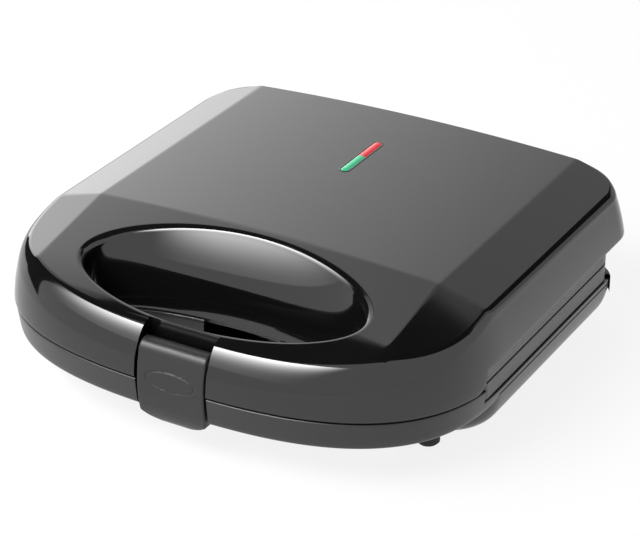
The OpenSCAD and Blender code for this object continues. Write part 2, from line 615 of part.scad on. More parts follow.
module upper_frame() color([0.42, 0.43, 0.45]) difference() {
    union() {
        band(upper_z0, upper_z1, upper_seat, upper_z0 - 1);
        tabs(upper_seat, upper_z1, upper_seat, upper_seat + 3);
        both_sides() {
            hinge_arm(hinge_x, knuckle_w, upper_z0, axis_z + knuckle_r, 1);
            hinge_eye(hinge_x, knuckle_w);
        }
    }
    hinge_bore();
    screw_bores(upper_seat - 1, upper_z1 + 1);
    at_four(tab_x, tab_y) translate([0, 0, upper_seat - 1]) cylinder(h = 1 + head_h, r = head_r + 0.3);
}
module upper_frame_screws() color([0.75, 0.76, 0.78]) at_four(tab_x, tab_y) screw(upper_seat + head_h, 12);

// ---------------------------------------------------------------- cooking plates
// A plate lying face up with its cooking face at 0: a rim, two blocks and four triangular pockets.
module corner_spots(x, y, z, r) for (p = [[-x, -y], [x, -y], [x, y], [-x, y]]) translate([p[0], p[1], z])
    cylinder(h = eps, r = r, $fn = 24);
module block() hull() {
    corner_spots(pocket_w / 2 + 3 - 8, pocket_d / 2 + 3 - 8, -plate_t, 8);
    corner_spots(pocket_w / 2 + 3 - pocket_in - 8, pocket_d / 2 + 3 - pocket_in - 8, -plate_depth, 8);
}
module triangle_pocket() {
    x = pocket_w / 2;
    y = pocket_d / 2;
    k = 4;
    hull() {
        for (p = [[-x + k, -y + k], [x - 3.4 * k, -y + k], [-x + k, y - 3.4 * k]])
            translate([p[0], p[1], 0]) cylinder(h = 1, r = k, $fn = 20);
        for (p = [[-x + k + pocket_in, -y + k + pocket_in], [x - 3.4 * k - 17, -y + k + pocket_in],
                [-x + k + pocket_in, y - 3.4 * k - 17]])
            translate([p[0], p[1], -pocket_h]) cylinder(h = eps, r = k, $fn = 20);
    }
}
module heater_path(r) {
    module run(x0, x1, y) translate([x0, y, 0]) rotate([0, 90, 0]) cylinder(h = x1 - x0, r = r);
    module bend(x, y, a, b) translate([x, y, 0]) rotate([0, 0, a]) rotate_extrude(angle = 90) translate([b, 0]) circle(r);
    xi = heater_x - heater_bend;
    yi = heater_y - heater_bend;
    run(-xi, xi, -heater_y);
    both_sides() {
        translate([heater_x, -yi, 0]) rotate([-90, 0, 0]) cylinder(h = 2 * yi, r = r);
        bend(xi, -yi, -90, heater_bend);
        bend(xi, yi, 0, heater_bend);
        run(tail_x + tail_bend, xi, heater_y);
        bend(tail_x + tail_bend, heater_y + tail_bend, 180, tail_bend);
        translate([tail_x, heater_y + tail_bend, 0]) rotate([-90, 0, 0]) cylinder(h = tail_y - heater_y - tail_bend, r = r);
    }
}
module plate() difference() {
    union() {
        translate([0, -plate_y, -plate_t]) linear_extrude(plate_t) centred_plan(plate_w / 2, plate_d / 2, 5);
        for (s = [-1, 1]) translate([s * pocket_x, 0, 0]) block();
    }
    for (s = [-1, 1]) for (a = [0, 180]) translate([s * pocket_x, 0, 0]) mirror([s > 0 ? 1 : 0, 0, 0])
        rotate([0, 0, a]) triangle_pocket();
    translate([0, 0, -plate_depth - heater_r + heater_sink]) heater_path(heater_r);
    for (sx = [-1, 1]) for (sy = [-1, 1]) translate([sx * plate_screw_x, sy * plate_screw_y, -plate_t - 1])
        cylinder(h = 3.2, r = screw_r + screw_fit);
}
module lower_place() translate([0, plate_y, lower_top]) children();
module upper_place() translate([0, plate_y, upper_top]) mirror([0, 0, 1]) children();
module lower_plate() color([0.16, 0.16, 0.17]) lower_place() plate();
module upper_plate() color([0.16, 0.16, 0.17]) upper_place() plate();
module plate_screws() for (sx = [-1, 1]) for (sy = [-1, 1]) translate([sx * plate_screw_x, sy * plate_screw_y, 0])
    screw(-plate_t - 3, 5);
module lower_plate_screws() color([0.75, 0.76, 0.78]) lower_place() plate_screws();
module upper_plate_screws() color([0.75, 0.76, 0.78]) upper_place() plate_screws();

// ---------------------------------------------------------------- heaters and reflectors
module heater() translate([0, 0, -plate_depth - heater_r + heater_sink]) {
    heater_path(heater_r);
    both_sides() translate([tail_x, tail_y, 0]) rotate([-90, 0, 0]) cylinder(h = 3.4, r = 1.2);
}
module lower_heater() color([0.55, 0.53, 0.5]) lower_place() heater();
module upper_heater() color([0.55, 0.53, 0.5]) upper_place() heater();
// A sheet tray with its floor at z0, rim at z1 and an ear at each corner at the rim.
module tray(z0, z1, ear) difference() {
    union() {
        translate([0, 0, z0]) linear_extrude(z1 - z0) centred_plan(tray_x, tray_y, 4);
        for (sx = [-1, 1]) for (sy = [-1, 1]) translate([sx * (tab_x - 1), plate_y + sy * (tab_y - 2), ear + tray_t / 2])
            cube([11, 12, tray_t], center = true);
    }
    translate([0, 0, z0 + (ear > z0 ? tray_t : 0) - (ear > z0 ? 0 : 1)]) linear_extrude(z1 - z0 - tray_t + 1)
        centred_plan(tray_x - tray_t, tray_y - tray_t, 3.2);
    at_four(tab_x, tab_y) translate([0, 0, z0 - 1]) cylinder(h = z1 - z0 + 2, r = screw_r + screw_fit);
    translate([-tail_x - 6, plate_y + tray_y - 4, z0 + (ear > z0 ? 2 : -1)]) cube([2 * tail_x + 12, 6, z1 - z0 - 1]);
}
module lower_reflector() color([0.8, 0.8, 0.8]) tray(lower_tray, post_z + tray_t, post_z);
module upper_reflector() color([0.8, 0.8, 0.8]) tray(upper_z1, upper_tray, upper_z1);

// ---------------------------------------------------------------- thermostat and fuse
module thermostat() color([0.85, 0.83, 0.78]) translate([pocket_x - 9, plate_y, upper_floor]) {
    cylinder(h = 4.6, r = 8);
    for (s = [-1, 1]) translate([-0.4 + s * 3, 7, 3.4]) cube([0.8, 6, 0.8]);
}
module thermostat_strap() color([0.75, 0.76, 0.78]) translate([pocket_x - 9, plate_y, upper_floor]) {
    translate([-9.5, -2.5, 4.6]) cube([19, 5, 0.8]);
    for (s = [-1, 1]) {
        translate([s * 9.1 - 0.4, -2.5, 0]) cube([0.8, 5, 5.4]);
        translate([s * 11.3 - 2.6, -2.5, 0]) cube([5.2, 5, 0.8]);
        translate([s * 11.8, 0, 0.8]) cylinder(h = 0.8, r = 1.5);
    }
}
module thermal_fuse() color([0.8, 0.78, 0.7]) translate([pocket_x - 13, plate_y, lower_floor - 2]) rotate([0, 90, 0]) {
    cylinder(h = 11, r = 2);
    translate([0, 0, -5]) cylinder(h = 21, r = 0.5);
}
module fuse_strap() color([0.75, 0.76, 0.78]) translate([pocket_x - 7.5, plate_y, lower_floor]) {
    translate([-2, -3.2, -4.8]) cube([4, 6.4, 0.8]);
    for (s = [-1, 1]) {
        translate([-2, s * 2.8 - 0.4, -4.8]) cube([4, 0.8, 4.8]);
        translate([-2, s * 4.7 - 2.3, -0.8]) cube([4, 4.6, 0.8]);
        translate([0, s * 5.2, -1.6]) cylinder(h = 0.8, r = 1.3);
    }
}

// ---------------------------------------------------------------- mains inlet and leads
block_y = frame_y1 - 7;
block_z = foot_h + wall;
module terminal_block() color([0.85, 0.84, 0.8]) difference() {
    translate([-16, block_y - 6, block_z]) cube([32, 12, 8]);
    for (i = [-1:1]) {
        translate([i * 10, block_y, block_z + 3]) cylinder(h = 6, r = 2.2);
        translate([i * 10, block_y - 7, block_z + 3.6]) rotate([-90, 0, 0]) cylinder(h = 14, r = 1.6);
    }
}
module terminal_screws() color([0.8, 0.65, 0.3]) for (i = [-1:1]) translate([i * 10, block_y, block_z + 3]) difference() {
    cylinder(h = 3.6, r = 2.1);
    translate([-3, -0.4, 2.8]) cube([6, 0.8, 2]);
}
module cord_gland() color([0.1, 0.1, 0.11]) gland_axis() difference() {
    union() {
        translate([0, 0, gland_pad]) cylinder(h = 2.4, r = 6);
        translate([0, 0, gland_pad - 14]) cylinder(h = 15, r = gland_r);
    }
    translate([0, 0, gland_pad - 15]) cylinder(h = 20, r = 2.9);
}
module cord_clamp() color([0.2, 0.2, 0.22]) translate([gland_x, block_y + 4, block_z]) difference() {
    union() {
        translate([-10, -3, 0]) cube([20, 6, 8.4]);
        for (s = [-1, 1]) translate([s * 7, 0, 8.4]) cylinder(h = 1.4, r = 2.2);
    }
    translate([0, -4, gland_z - block_z]) rotate([-90, 0, 0]) cylinder(h = 8, r = 2.9);
}
// A round lead through a list of points.
module lead(points, r) for (i = [0:len(points) - 2]) hull() for (p = [points[i], points[i + 1]])
    translate(p) sphere(r, $fn = 8);
lead_r = 0.9;
thin_lead_r = 0.6;
lower_tail_z = lower_floor - heater_r + heater_sink;
upper_tail_z = upper_floor + heater_r - heater_sink;
tail_end = plate_y + tail_y + 3.4 + lead_r;
base_hole_z = block_z + 3.6;
// Both pairs of leads run to one hinge, where the lid's join the base's.
function lead_x(s) = hinge_x - 22 + 2 * s;
module base_leads() color([0.75, 0.3, 0.2]) moulding() for (s = [-1, 1]) {
    lead([[s * tail_x, tail_end, lower_tail_z], [s * tail_x, plate_y + tray_y + 2.6, lower_tail_z - 1],
        [s * 16, block_y - 8.4, base_hole_z + 1], [s * 10, block_y - 8.4, base_hole_z],
        [s * 10, block_y - 3.4, base_hole_z]], lead_r);
    lead([[s * 10, block_y + 3.4, base_hole_z], [s * 10, block_y + 10 - 2 * s, base_hole_z],
        [s * 10 + 16, block_y + 11 - 2 * s, base_hole_z + 1], [lead_x(s), frame_y1 + 5 - 2 * s, base_hole_z + 1]], lead_r);
}
module lid_leads() color([0.75, 0.3, 0.2]) moulding() {
    over = upper_floor + heat_drop + tray_gap / 2;
    for (s = [-1, 1]) lead([[s * tail_x, tail_end, upper_tail_z], [s * tail_x, tail_end + 7, upper_tail_z + 1],
        [s * tail_x + 4, tail_end + 9, upper_z1 + 8], [lead_x(s), frame_y1 + 6.5 - 1.5 * s, upper_z1 + 5]], lead_r);
    lead([[pocket_x - 12, plate_y + 13.8, upper_floor + 3.8], [pocket_x - 12, plate_y + 18, over],
        [tail_x + 8, tail_end - 8, over], [tail_x + 5, tail_end + 1, over],
        [tail_x + 2, tail_end - 1.4, upper_tail_z]], thin_lead_r);
}

// ---------------------------------------------------------------- hinges
module hinge_pins() color([0.75, 0.76, 0.78]) both_sides() translate([0, axis_y, axis_z]) rotate([0, 90, 0]) difference() {
    union() {
        translate([0, 0, pin_start - 2.2]) cylinder(h = pin_end - pin_start + 2.2, r = hinge_pin_r);
        translate([0, 0, pin_end]) cylinder(h = 1.4, r = hinge_pin_r + 1.6);
    }
    translate([0, 0, pin_start - 0.8]) difference() {
        cylinder(h = 0.8, r = hinge_pin_r + 1);
        translate([0, 0, -1]) cylinder(h = 3, r = hinge_pin_r - 0.5);
    }
}
module pin_clips() color([0.6, 0.6, 0.62]) both_sides() translate([pin_start - 0.8, axis_y, axis_z]) rotate([0, 90, 0])
    difference() {
        cylinder(h = 0.8, r = hinge_pin_r + 1.6);
        translate([0, 0, -1]) cylinder(h = 3, r = hinge_pin_r - 0.5);
    }

// ---------------------------------------------------------------- indicator lamps
inner_l = window_l - 2 * bezel_w;
inner_r = window_w / 2 - bezel_w;
module inner_slot(z, h, r = inner_r) translate([0, window_cy, z]) linear_extrude(h) {
    square([2 * r, inner_l - 2 * inner_r], center = true);
    for (s = [-1, 1]) translate([0, s * (inner_l / 2 - inner_r)]) circle(r);
}
module window_bezel() color([0.62, 0.63, 0.65]) difference() {
    union() {
        window_slot(0, flange_z - flange_t, crown_z - flange_z + flange_t - 0.05);
        translate([-6, window_cy - window_l / 2 - 2, flange_z - flange_t]) cube([12, window_l + 4, flange_t]);
    }
    inner_slot(flange_z + 1, 10);
    translate([-inner_r + 0.7, window_cy - inner_l / 2 + 2.4, flange_z - 5]) cube([2 * inner_r - 1.4, inner_l - 4.8, 10]);
}
module lens(s) intersection() {
    difference() {
        inner_slot(flange_z + 1, crown_z + lens_rise - flange_z, inner_r - lens_fit);
        translate([0, window_cy, 0]) for (i = [-16:16]) translate([-5, i * 1.2 - 0.3, crown_z + lens_rise - 0.3])
            cube([10, 0.6, 2]);
    }
    translate([0, window_cy, crown_z + lens_rise - lens_dome]) union() {
        rotate([90, 0, 0]) cylinder(h = body_d, r = lens_dome, center = true);
        translate([-5, -body_d / 2, -20]) cube([10, body_d, 20]);
    }
    translate([-inner_r, window_cy + (s > 0 ? 0.1 : -inner_l / 2), 0]) cube([2 * inner_r, inner_l / 2 - 0.1, 200]);
}
module green_lens() color([0.2, 0.7, 0.25]) lens(-1);
module red_lens() color([0.6, 0.1, 0.1]) lens(1);
carrier_z = flange_z - flange_t;
module lamp_carrier() color([0.85, 0.84, 0.8]) difference() {
    union() {
        translate([-5, window_cy - window_l / 2, carrier_z - carrier_h]) cube([10, window_l, carrier_h]);
        for (s = [-1, 1]) translate([-4, window_cy + s * (window_l / 2 + 4.5) - 5.5, carrier_z - 2]) cube([8, 11, 2]);
        for (s = [-1, 1]) translate([-4, window_cy + s * (window_l / 2 + 6.2) - 3.8, carrier_z - 1]) cube([8, 7.6, 1 + flange_t]);
    }
    for (s = [-1, 1]) translate([0, window_cy + s * window_l / 4, carrier_z - carrier_h + 1.6]) cylinder(h = 20, r = 2.8);
    carrier_places() translate([0, 0, carrier_z - 5]) cylinder(h = 10, r = screw_r + screw_fit);
}
module carrier_screws() color([0.75, 0.76, 0.78]) carrier_places() screw(carrier_z - 2, 5.4);
module lamp(s) translate([0, window_cy + s * window_l / 4, carrier_z - carrier_h + 1.6]) {
    cylinder(h = 5, r = 2.2);
    translate([0, 0, 5]) sphere(2.2);
}
module green_lamp() color([0.7, 0.95, 0.7]) lamp(-1);
module red_lamp() color([0.95, 0.6, 0.5]) lamp(1);

// ---------------------------------------------------------------- latch
module latch_pin() color([0.75, 0.76, 0.78]) translate([0, pivot_y, pivot_z]) rotate([0, 90, 0])
    cylinder(h = notch_w + 2 * wall + 1.6, r = latch_pin_r, center = true);
// The latch's side profile, in Y and Z from the front face and the pivot.
hook_z = grip_z - 0.6;
lip_z = grip_z - lip_drop;
hook_tip = front_y + base_notch_d + hook_reach;
latch_profile = [
    [pivot_y, pivot_z + barrel_r], [pivot_y - 2, pivot_z + barrel_r - 0.8], [face_y + 4.2, pivot_z + 2.5],
    [face_y + 1.8, pivot_z - 1.4], [face_y + 0.6, pivot_z - 7.4], [face_y, pivot_z - 13.4], [face_y + 0.3, pivot_z - 18.4],
    [face_y + 0.9, pivot_z - 21.4], [face_y + 1.7, lip_z + 6.4], [face_y + 3, lip_z + 0.4], [face_y + 5.4, lip_z],
    [hook_tip - 1.2, lip_z + 1.1], [hook_tip, lip_z + 2.2], [hook_tip - 0.2, hook_z], [front_y + 7.6, hook_z],
    [front_y + 6.1, seam_z - 5], [front_y + 6.3, seam_z + 5], [pivot_y + 1.5, pivot_z - 4]];
module latch() color([0.38, 0.38, 0.4]) difference() {
    intersection() {
        union() {
            along_x(2 * latch_half) polygon(latch_profile);
            translate([0, pivot_y, pivot_z]) rotate([0, 90, 0]) cylinder(h = 2 * latch_half, r = barrel_r, center = true);
        }
        translate([0, front_y - 10, lip_z + lip_r]) rotate([-90, 0, 0]) cylinder(h = 60, r = lip_r, $fn = 96);
    }
    translate([0, pivot_y, pivot_z]) rotate([0, 90, 0]) cylinder(h = 60, r = latch_pin_r + fit, center = true);
    translate([0, face_y + 0.6, seam_z + 2.5]) rotate([90, 0, 0]) linear_extrude(10) difference() {
        oval(12.4, 4.7);
        oval(11.6, 3.9);
    }
}
module oval(a, b) polygon([for (k = [0:39]) [a * cos(9 * k), b * sin(9 * k)]]);

base_casing();
feet();
casing_screws();
base_web();
lower_frame();
lower_plate();
lower_plate_screws();
lower_heater();
lower_reflector();
thermal_fuse();
fuse_strap();
terminal_block();
terminal_screws();
cord_gland();
cord_clamp();
base_leads();
hinge_brackets();
hinge_pins();
pin_clips();
lid_casing();
lid_web();
upper_frame();
upper_frame_screws();
upper_plate();
upper_plate_screws();
upper_heater();
upper_reflector();
thermostat();
thermostat_strap();
window_bezel();
green_lens();
red_lens();
lamp_carrier();
carrier_screws();
green_lamp();
red_lamp();
lid_leads();
latch_pin();
latch();
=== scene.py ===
"""Dresses the CAD frame of a two-slice sandwich toaster: glossy lid, matte base, latch, plates and studio."""

import json
import logging
import math
from dataclasses import dataclass, replace
from enum import Enum

import bpy
import numpy as np
from mathutils import Matrix, Vector


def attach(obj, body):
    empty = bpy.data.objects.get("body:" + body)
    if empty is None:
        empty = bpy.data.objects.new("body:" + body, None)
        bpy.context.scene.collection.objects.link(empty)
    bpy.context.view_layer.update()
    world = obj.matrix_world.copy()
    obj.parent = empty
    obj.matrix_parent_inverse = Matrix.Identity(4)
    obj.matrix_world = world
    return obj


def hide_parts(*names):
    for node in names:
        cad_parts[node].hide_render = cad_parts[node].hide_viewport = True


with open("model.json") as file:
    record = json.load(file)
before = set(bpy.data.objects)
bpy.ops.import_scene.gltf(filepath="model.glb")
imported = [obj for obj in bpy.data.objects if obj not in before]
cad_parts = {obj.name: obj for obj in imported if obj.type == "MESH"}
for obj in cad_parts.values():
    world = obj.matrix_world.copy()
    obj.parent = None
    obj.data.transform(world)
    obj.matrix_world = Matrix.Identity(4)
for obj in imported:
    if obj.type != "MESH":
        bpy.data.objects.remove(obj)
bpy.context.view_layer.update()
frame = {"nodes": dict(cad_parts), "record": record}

LOG = logging.getLogger("toaster")
MM = 0.001
SHARP_ANGLE = math.radians(32)


# ---------------------------------------------------------------- numbers


def mix(a: np.ndarray | float, b: np.ndarray | float, t: np.ndarray | float) -> np.ndarray:
    """Linear blend from a to b."""
    return a + (np.asarray(b) - a) * t


def smoothstep(low: float, high: float, v: np.ndarray) -> np.ndarray:
    """Eased ramp from 0 at low to 1 at high."""
    t = np.clip((v - low) / (high - low), 0.0, 1.0)
    return t * t * (3.0 - 2.0 * t)


def angles(start: float, end: float, count: int) -> np.ndarray:
    """Angles in radians, spaced evenly between two in degrees."""
    return np.radians(np.linspace(start, end, count))


def catmull(points: list[tuple[float, float]], count: int) -> np.ndarray:
    """A smooth curve through points.

    Args:
        points: the points in order.
        count: how many samples to take, evenly by parameter.

    Returns:
        The samples, one row each.
    """
    p = np.array(points, float)
    p = np.vstack([2 * p[0] - p[1], p, 2 * p[-1] - p[-2]])
    t = np.linspace(0.0, len(p) - 3 - 1e-9, count)
    k = t.astype(int)
    u = (t - k)[:, None]
    a, b, c, d = p[k], p[k + 1], p[k + 2], p[k + 3]
    return 0.5 * (2 * b + (c - a) * u + (2 * a - 5 * b + 4 * c - d) * u**2 + (3 * b - a - 3 * c + d) * u**3)


# ---------------------------------------------------------------- meshes


def mesh_object(name: str, verts: np.ndarray, faces: list, sharp: float = SHARP_ANGLE) -> bpy.types.Object:
    """Makes a smooth-shaded object from points in millimetres.

    Args:
        name: the object's name.
        verts: points, one row each.
        faces: index tuples.
        sharp: edges between faces that meet at more than this stay crisp.

    Returns:
        The new object, at the origin.
    """
    mesh = bpy.data.meshes.new(name)
    mesh.from_pydata((verts * MM).tolist(), [], faces)
    mesh.validate()
    mesh.shade_smooth()
    mesh.set_sharp_from_angle(angle=sharp)
    obj = bpy.data.objects.new(name, mesh)
    bpy.context.scene.collection.objects.link(obj)
    return obj


class Patchwork:
    """Collects grids and polygons and joins them into one mesh."""

    def __init__(self) -> None:
        """Starts empty."""
        self.verts: list[np.ndarray] = []
        self.faces: list[tuple[int, ...]] = []
        self.count = 0

    def grid(self, points: np.ndarray, closed: bool = True, flip: bool = False) -> None:
        """Adds a grid of quads.

        Args:
            points: rows, columns and three coordinates.
            closed: whether the last column joins the first.
            flip: turns the faces over.
        """
        rows, cols = points.shape[:2]
        ids = np.arange(rows * cols).reshape(rows, cols) + self.count
        right = np.roll(ids, -1, axis=1) if closed else ids[:, 1:]
        left = ids if closed else ids[:, :-1]
        quads = np.stack([left[:-1], right[:-1], right[1:], left[1:]], axis=-1).reshape(-1, 4)
        if flip:
            quads = quads[:, ::-1]
        self.faces.extend(map(tuple, quads.tolist()))
        self.verts.append(points.reshape(-1, 3))
        self.count += rows * cols

    def polygon(self, points: np.ndarray, flip: bool = False) -> None:
        """Adds one flat face."""
        ids = list(range(self.count, self.count + len(points)))
        self.faces.append(tuple(ids[::-1] if flip else ids))
        self.verts.append(np.asarray(points, float))
        self.count += len(points)

    def lathe(self, profile: list[tuple[float, float]], place: tuple[float, float], steps: int = 48) -> None:
        """Turns a profile of radius and height, listed upwards on the outside, round a vertical axis."""
        a = np.linspace(0, 2 * np.pi, steps, endpoint=False)
        r, z = np.array(profile, float).T
        x = place[0] + r[:, None] * np.cos(a)
        y = place[1] + r[:, None] * np.sin(a)
        self.grid(np.stack([x, y, np.repeat(z[:, None], steps, 1)], -1))

    def make(self, name: str, sharp: float = SHARP_ANGLE) -> bpy.types.Object:
        """Returns the finished object."""
        return mesh_object(name, np.vstack(self.verts), self.faces, sharp)


def row(x: np.ndarray, y: np.ndarray, z: np.ndarray | float) -> np.ndarray:
    """One row of a grid."""
    return np.stack([x, y, np.broadcast_to(z, x.shape)], -1)


def border(grid: np.ndarray) -> np.ndarray:
    """The points round the edge of a grid, once each."""
    return np.concatenate([grid[0, :-1], grid[:-1, -1], grid[-1, :0:-1], grid[:0:-1, 0]])


# ---------------------------------------------------------------- shared form


@dataclass(frozen=True)
class Form:
    """Sizes that both casings follow, in millimetres, in the frame's own coordinates.

    The seam outline bows from bow_y to front_y with bow_power. The top has a crowned panel out to x = panel and
    facets from there to x = edge_half. Its nose starts at nose_y and falls nose_drop over nose_run, and its last
    stretch rolls down further. The hand hole is an ellipse that narrows downwards.
    """

    half_w: float = 117.4
    front_y: float = -113.0
    back_y: float = 113.0
    bow_y: float = -28.0
    bow_power: float = 2.67
    rear_r: float = 23.6
    seam_z: float = 33.5
    gap: float = 0.45
    wall: float = 2.4
    recess_y: float = -47.8
    notch: float = 17.8
    crown_z: float = 73.1
    crown: float = 2.7
    facet_drop: float = 6.0
    panel: float = 86.2
    edge_half: float = 107.6
    nose_y: float = -35.4
    nose_run: float = 66.2
    nose_drop: float = 12.8
    roll: float = 1.5
    roll_run: float = 24.0
    hole_half: float = 68.5
    hole_front: float = -98.0
    hole_back: float = -44.4
    hole_lean: float = 10.0
    hole_toe: float = 2.0
    hole_taper: float = 2.5
    lid_h: float = 39.8
    rim: float = 3.6
    soften: float = 0.9
    crown_fade: float = 0.8
    roll_edge: float = 11.4
    roll_most: float = 1.3

    def top(self, x: np.ndarray, y: np.ndarray) -> np.ndarray:
        """Height of the lid's top: a crowned panel, two falling facets and a nose that slopes and rolls down.

        Each crease is softened by averaging the plain surface over a small cross of points.

        Args:
            x: places across, positive to the right.
            y: places along, positive to the back.

        Returns:
            The heights.
        """

        def plain(px: np.ndarray, py: np.ndarray) -> np.ndarray:
            """The height before its creases are softened."""
            u = np.clip((self.nose_y - py) / self.nose_run, 0, 1)
            a = np.abs(px)
            crown = self.crown * (1 - self.crown_fade * u) * (1 - np.minimum(a / self.panel, 1) ** 2)
            facet = self.facet_drop * np.maximum(a - self.panel, 0) / (self.edge_half - self.panel)
            start = self.front_y + self.roll_edge + self.roll_run
            roll = self.roll * np.clip((start - py) / self.roll_run, 0, self.roll_most) ** 2
            return self.crown_z - self.crown - self.nose_drop * u + crown - facet - roll

        s = self.soften
        around = plain(x + s, y) + plain(x - s, y) + plain(x, y + s) + plain(x, y - s)
        return 0.5 * plain(x, y) + around / 8

    def hole(self, angle: np.ndarray, f: np.ndarray | float,
             grow: np.ndarray | float) -> tuple[np.ndarray, np.ndarray]:
        """A point of the hand hole's wall.

        Args:
            angle: ellipse angle.
            f: height, 0 at the seam and 1 at the top.
            grow: how far outside the wall's line the point lies.

        Returns:
            Its x and y.
        """
        y0 = mix(self.hole_front + self.hole_toe, self.hole_front, f)
        y1 = mix(self.hole_back - self.hole_lean, self.hole_back, f)
        w = self.hole_half - self.hole_taper * (1 - np.asarray(f))
        return (w + grow) * np.cos(angle), (y0 + y1) / 2 + ((y1 - y0) / 2 + grow) * np.sin(angle)


@dataclass(frozen=True)
class Columns:
    """Points round the seam outline, anticlockwise from the front centre.

    Attributes:
        x: places across.
        y: places along.
        nx: outward direction, across.
        ny: outward direction, along.
        facing: 1 where the outline faces the front, 0 along the sides and the back.
        hole: the matching ellipse angle of the hand hole.
    """

    x: np.ndarray
    y: np.ndarray
    nx: np.ndarray
    ny: np.ndarray
    facing: np.ndarray
    hole: np.ndarray

    @staticmethod
    def outline(form: Form) -> np.ndarray:
        """The right half of the seam outline, from the front centre to the back centre.

        The front is the curve |x/a|^p + |y/b|^p = 1, the side is straight and the rear corner a quarter circle.

        Args:
            form: the shared sizes.

        Returns:
            Closely spaced points, one row each.
        """
        on_bow, on_side, on_rest = 5000, 900, 700
        w, depth, r = form.half_w, form.bow_y - form.front_y, form.rear_r
        t, p = angles(90, 0, on_bow), 2 / form.bow_power
        bow = np.stack([w * np.cos(t) ** p, form.bow_y - depth * np.sin(t) ** p], 1)
        side = np.stack([np.full(on_side, w), np.linspace(form.bow_y, form.back_y - r, on_side)], 1)
        a = angles(0, 90, on_rest)
        centre = np.array([w - r, form.back_y - r])
        corner = centre + r * np.stack([np.cos(a), np.sin(a)], 1)
        back = np.stack([np.linspace(centre[0], 0, on_rest), np.full(on_rest, form.back_y)], 1)
        return np.vstack([bow, side[1:], corner[1:], back[1:]])

    @staticmethod
    def hole_angle(form: Form, x: np.ndarray, y: np.ndarray) -> np.ndarray:
        """The matching angle of the hand hole, which keeps x near the middle and turns with the outline beyond.

        Args:
            form: the shared sizes.
            x: places on the right half of the outline.
            y: the same.

        Returns:
            Ellipse angles.
        """
        straight_x, turning_x, turning_y = 22, 92, -60
        hx, hy = form.hole(np.array([0.0, -np.pi / 2, np.pi / 2]), 1.0, form.rim)
        half, mid, deep = hx[0], (hy[1] + hy[2]) / 2, (hy[2] - hy[1]) / 2
        straight = -np.arccos(np.clip(x / half, 0, 1))
        turning = np.arctan2((y - mid) / deep, x / half)
        share = smoothstep(straight_x, turning_x, x) + (y > turning_y)
        return mix(straight, turning, np.clip(share, 0, 1))

    @classmethod
    def sample(cls, form: Form, pitch: float, cut_x: float, cut_y: list[float]) -> "Columns":
        """Samples the outline evenly, with a close pair of columns at each cut so that a step there is crisp.

        Args:
            form: the shared sizes.
            pitch: spacing between columns.
            cut_x: distance from the middle of the cuts across the front.
            cut_y: places of the cuts along the sides.

        Returns:
            The columns, right half first.
        """
        line, flank_x, close = cls.outline(form), 90, 0.01
        s = np.concatenate([[0], np.cumsum(np.linalg.norm(np.diff(line, axis=0), axis=1))])
        front = line[:, 1] < form.bow_y
        flank = ~front | (line[:, 0] > flank_x)
        marks = [np.interp(cut_x, line[front, 0], s[front])]
        marks += [np.interp(y, line[flank, 1], s[flank]) for y in cut_y]
        stops, where = [0.0, *sorted(marks), s[-1]], []
        for k, (lo, hi) in enumerate(zip(stops, stops[1:])):
            lo, hi = lo + (close if k else 0), hi - (close if hi < s[-1] else 0)
            where.append(np.linspace(lo, hi, max(3, int((hi - lo) / pitch) + 1)))
        where = np.concatenate(where)
        tangent = np.gradient(line, s, axis=0)
        x, y, tx, ty = (np.interp(where, s, v) for v in (*line.T, *tangent.T))
        tx[0], ty[0], tx[-1], ty[-1] = 1, 0, -1, 0
        size = np.hypot(tx, ty)
        nx, ny = ty / size, -tx / size
        facing = np.where(y < form.bow_y, np.maximum(0, -ny), 0)
        angle = cls.hole_angle(form, x, y)
        left = slice(-2, 0, -1)
        pairs = ((x, -x), (y, y), (nx, -nx), (ny, ny), (facing, facing), (angle, np.pi - angle))
        return cls(*(np.concatenate([v, mirrored[left]]) for v, mirrored in pairs))

    def inset(self, d: np.ndarray | float) -> tuple[np.ndarray, np.ndarray]:
        """The outline moved inwards by d."""
        return self.x - self.nx * d, self.y - self.ny * d

    def take(self, keep: np.ndarray) -> "Columns":
        """The columns at the given indices."""
        return Columns(*(getattr(self, k)[keep] for k in ("x", "y", "nx", "ny", "facing", "hole")))


def clip_notch(rows: np.ndarray, cols: Columns, form: Form, back: float, z_low: np.ndarray, first: int) -> None:
    """Cuts the latch's notch into a casing's grid: what stands in front of its back wall is laid on that wall.

    Args:
        rows: the grid, changed in place.
        cols: its columns.
        form: the shared sizes.
        back: where the notch's back wall is.
        z_low: height of the casing's edge at each column.
        first: row of the casing's edge.
    """
    for i in np.flatnonzero((np.abs(cols.x) < form.notch) & (cols.y < 0)):
        column = rows[:, i]
        column[:, 0] = cols.x[i]
        behind = np.flatnonzero(column[first:, 1] > back)
        k = first + behind[0]
        a, b = column[k - 1], column[k]
        t = (back - a[1]) / (b[1] - a[1])
        z = a[2] + (b[2] - a[2]) * t
        column[first:k, 1] = back
        column[first:k, 2] = np.linspace(z_low[i], z, k - first)
        column[:first, 1] = back + form.wall * np.linspace(1, 0.1, first)


# ---------------------------------------------------------------- finishes


class Grain(Enum):
    """How the fine texture of a finish runs."""

    EVEN = (1.0, 1.0, 1.0)
    ALONG_Y = (1.0, 0.06, 1.0)
    ALONG_X = (0.06, 1.0, 1.0)


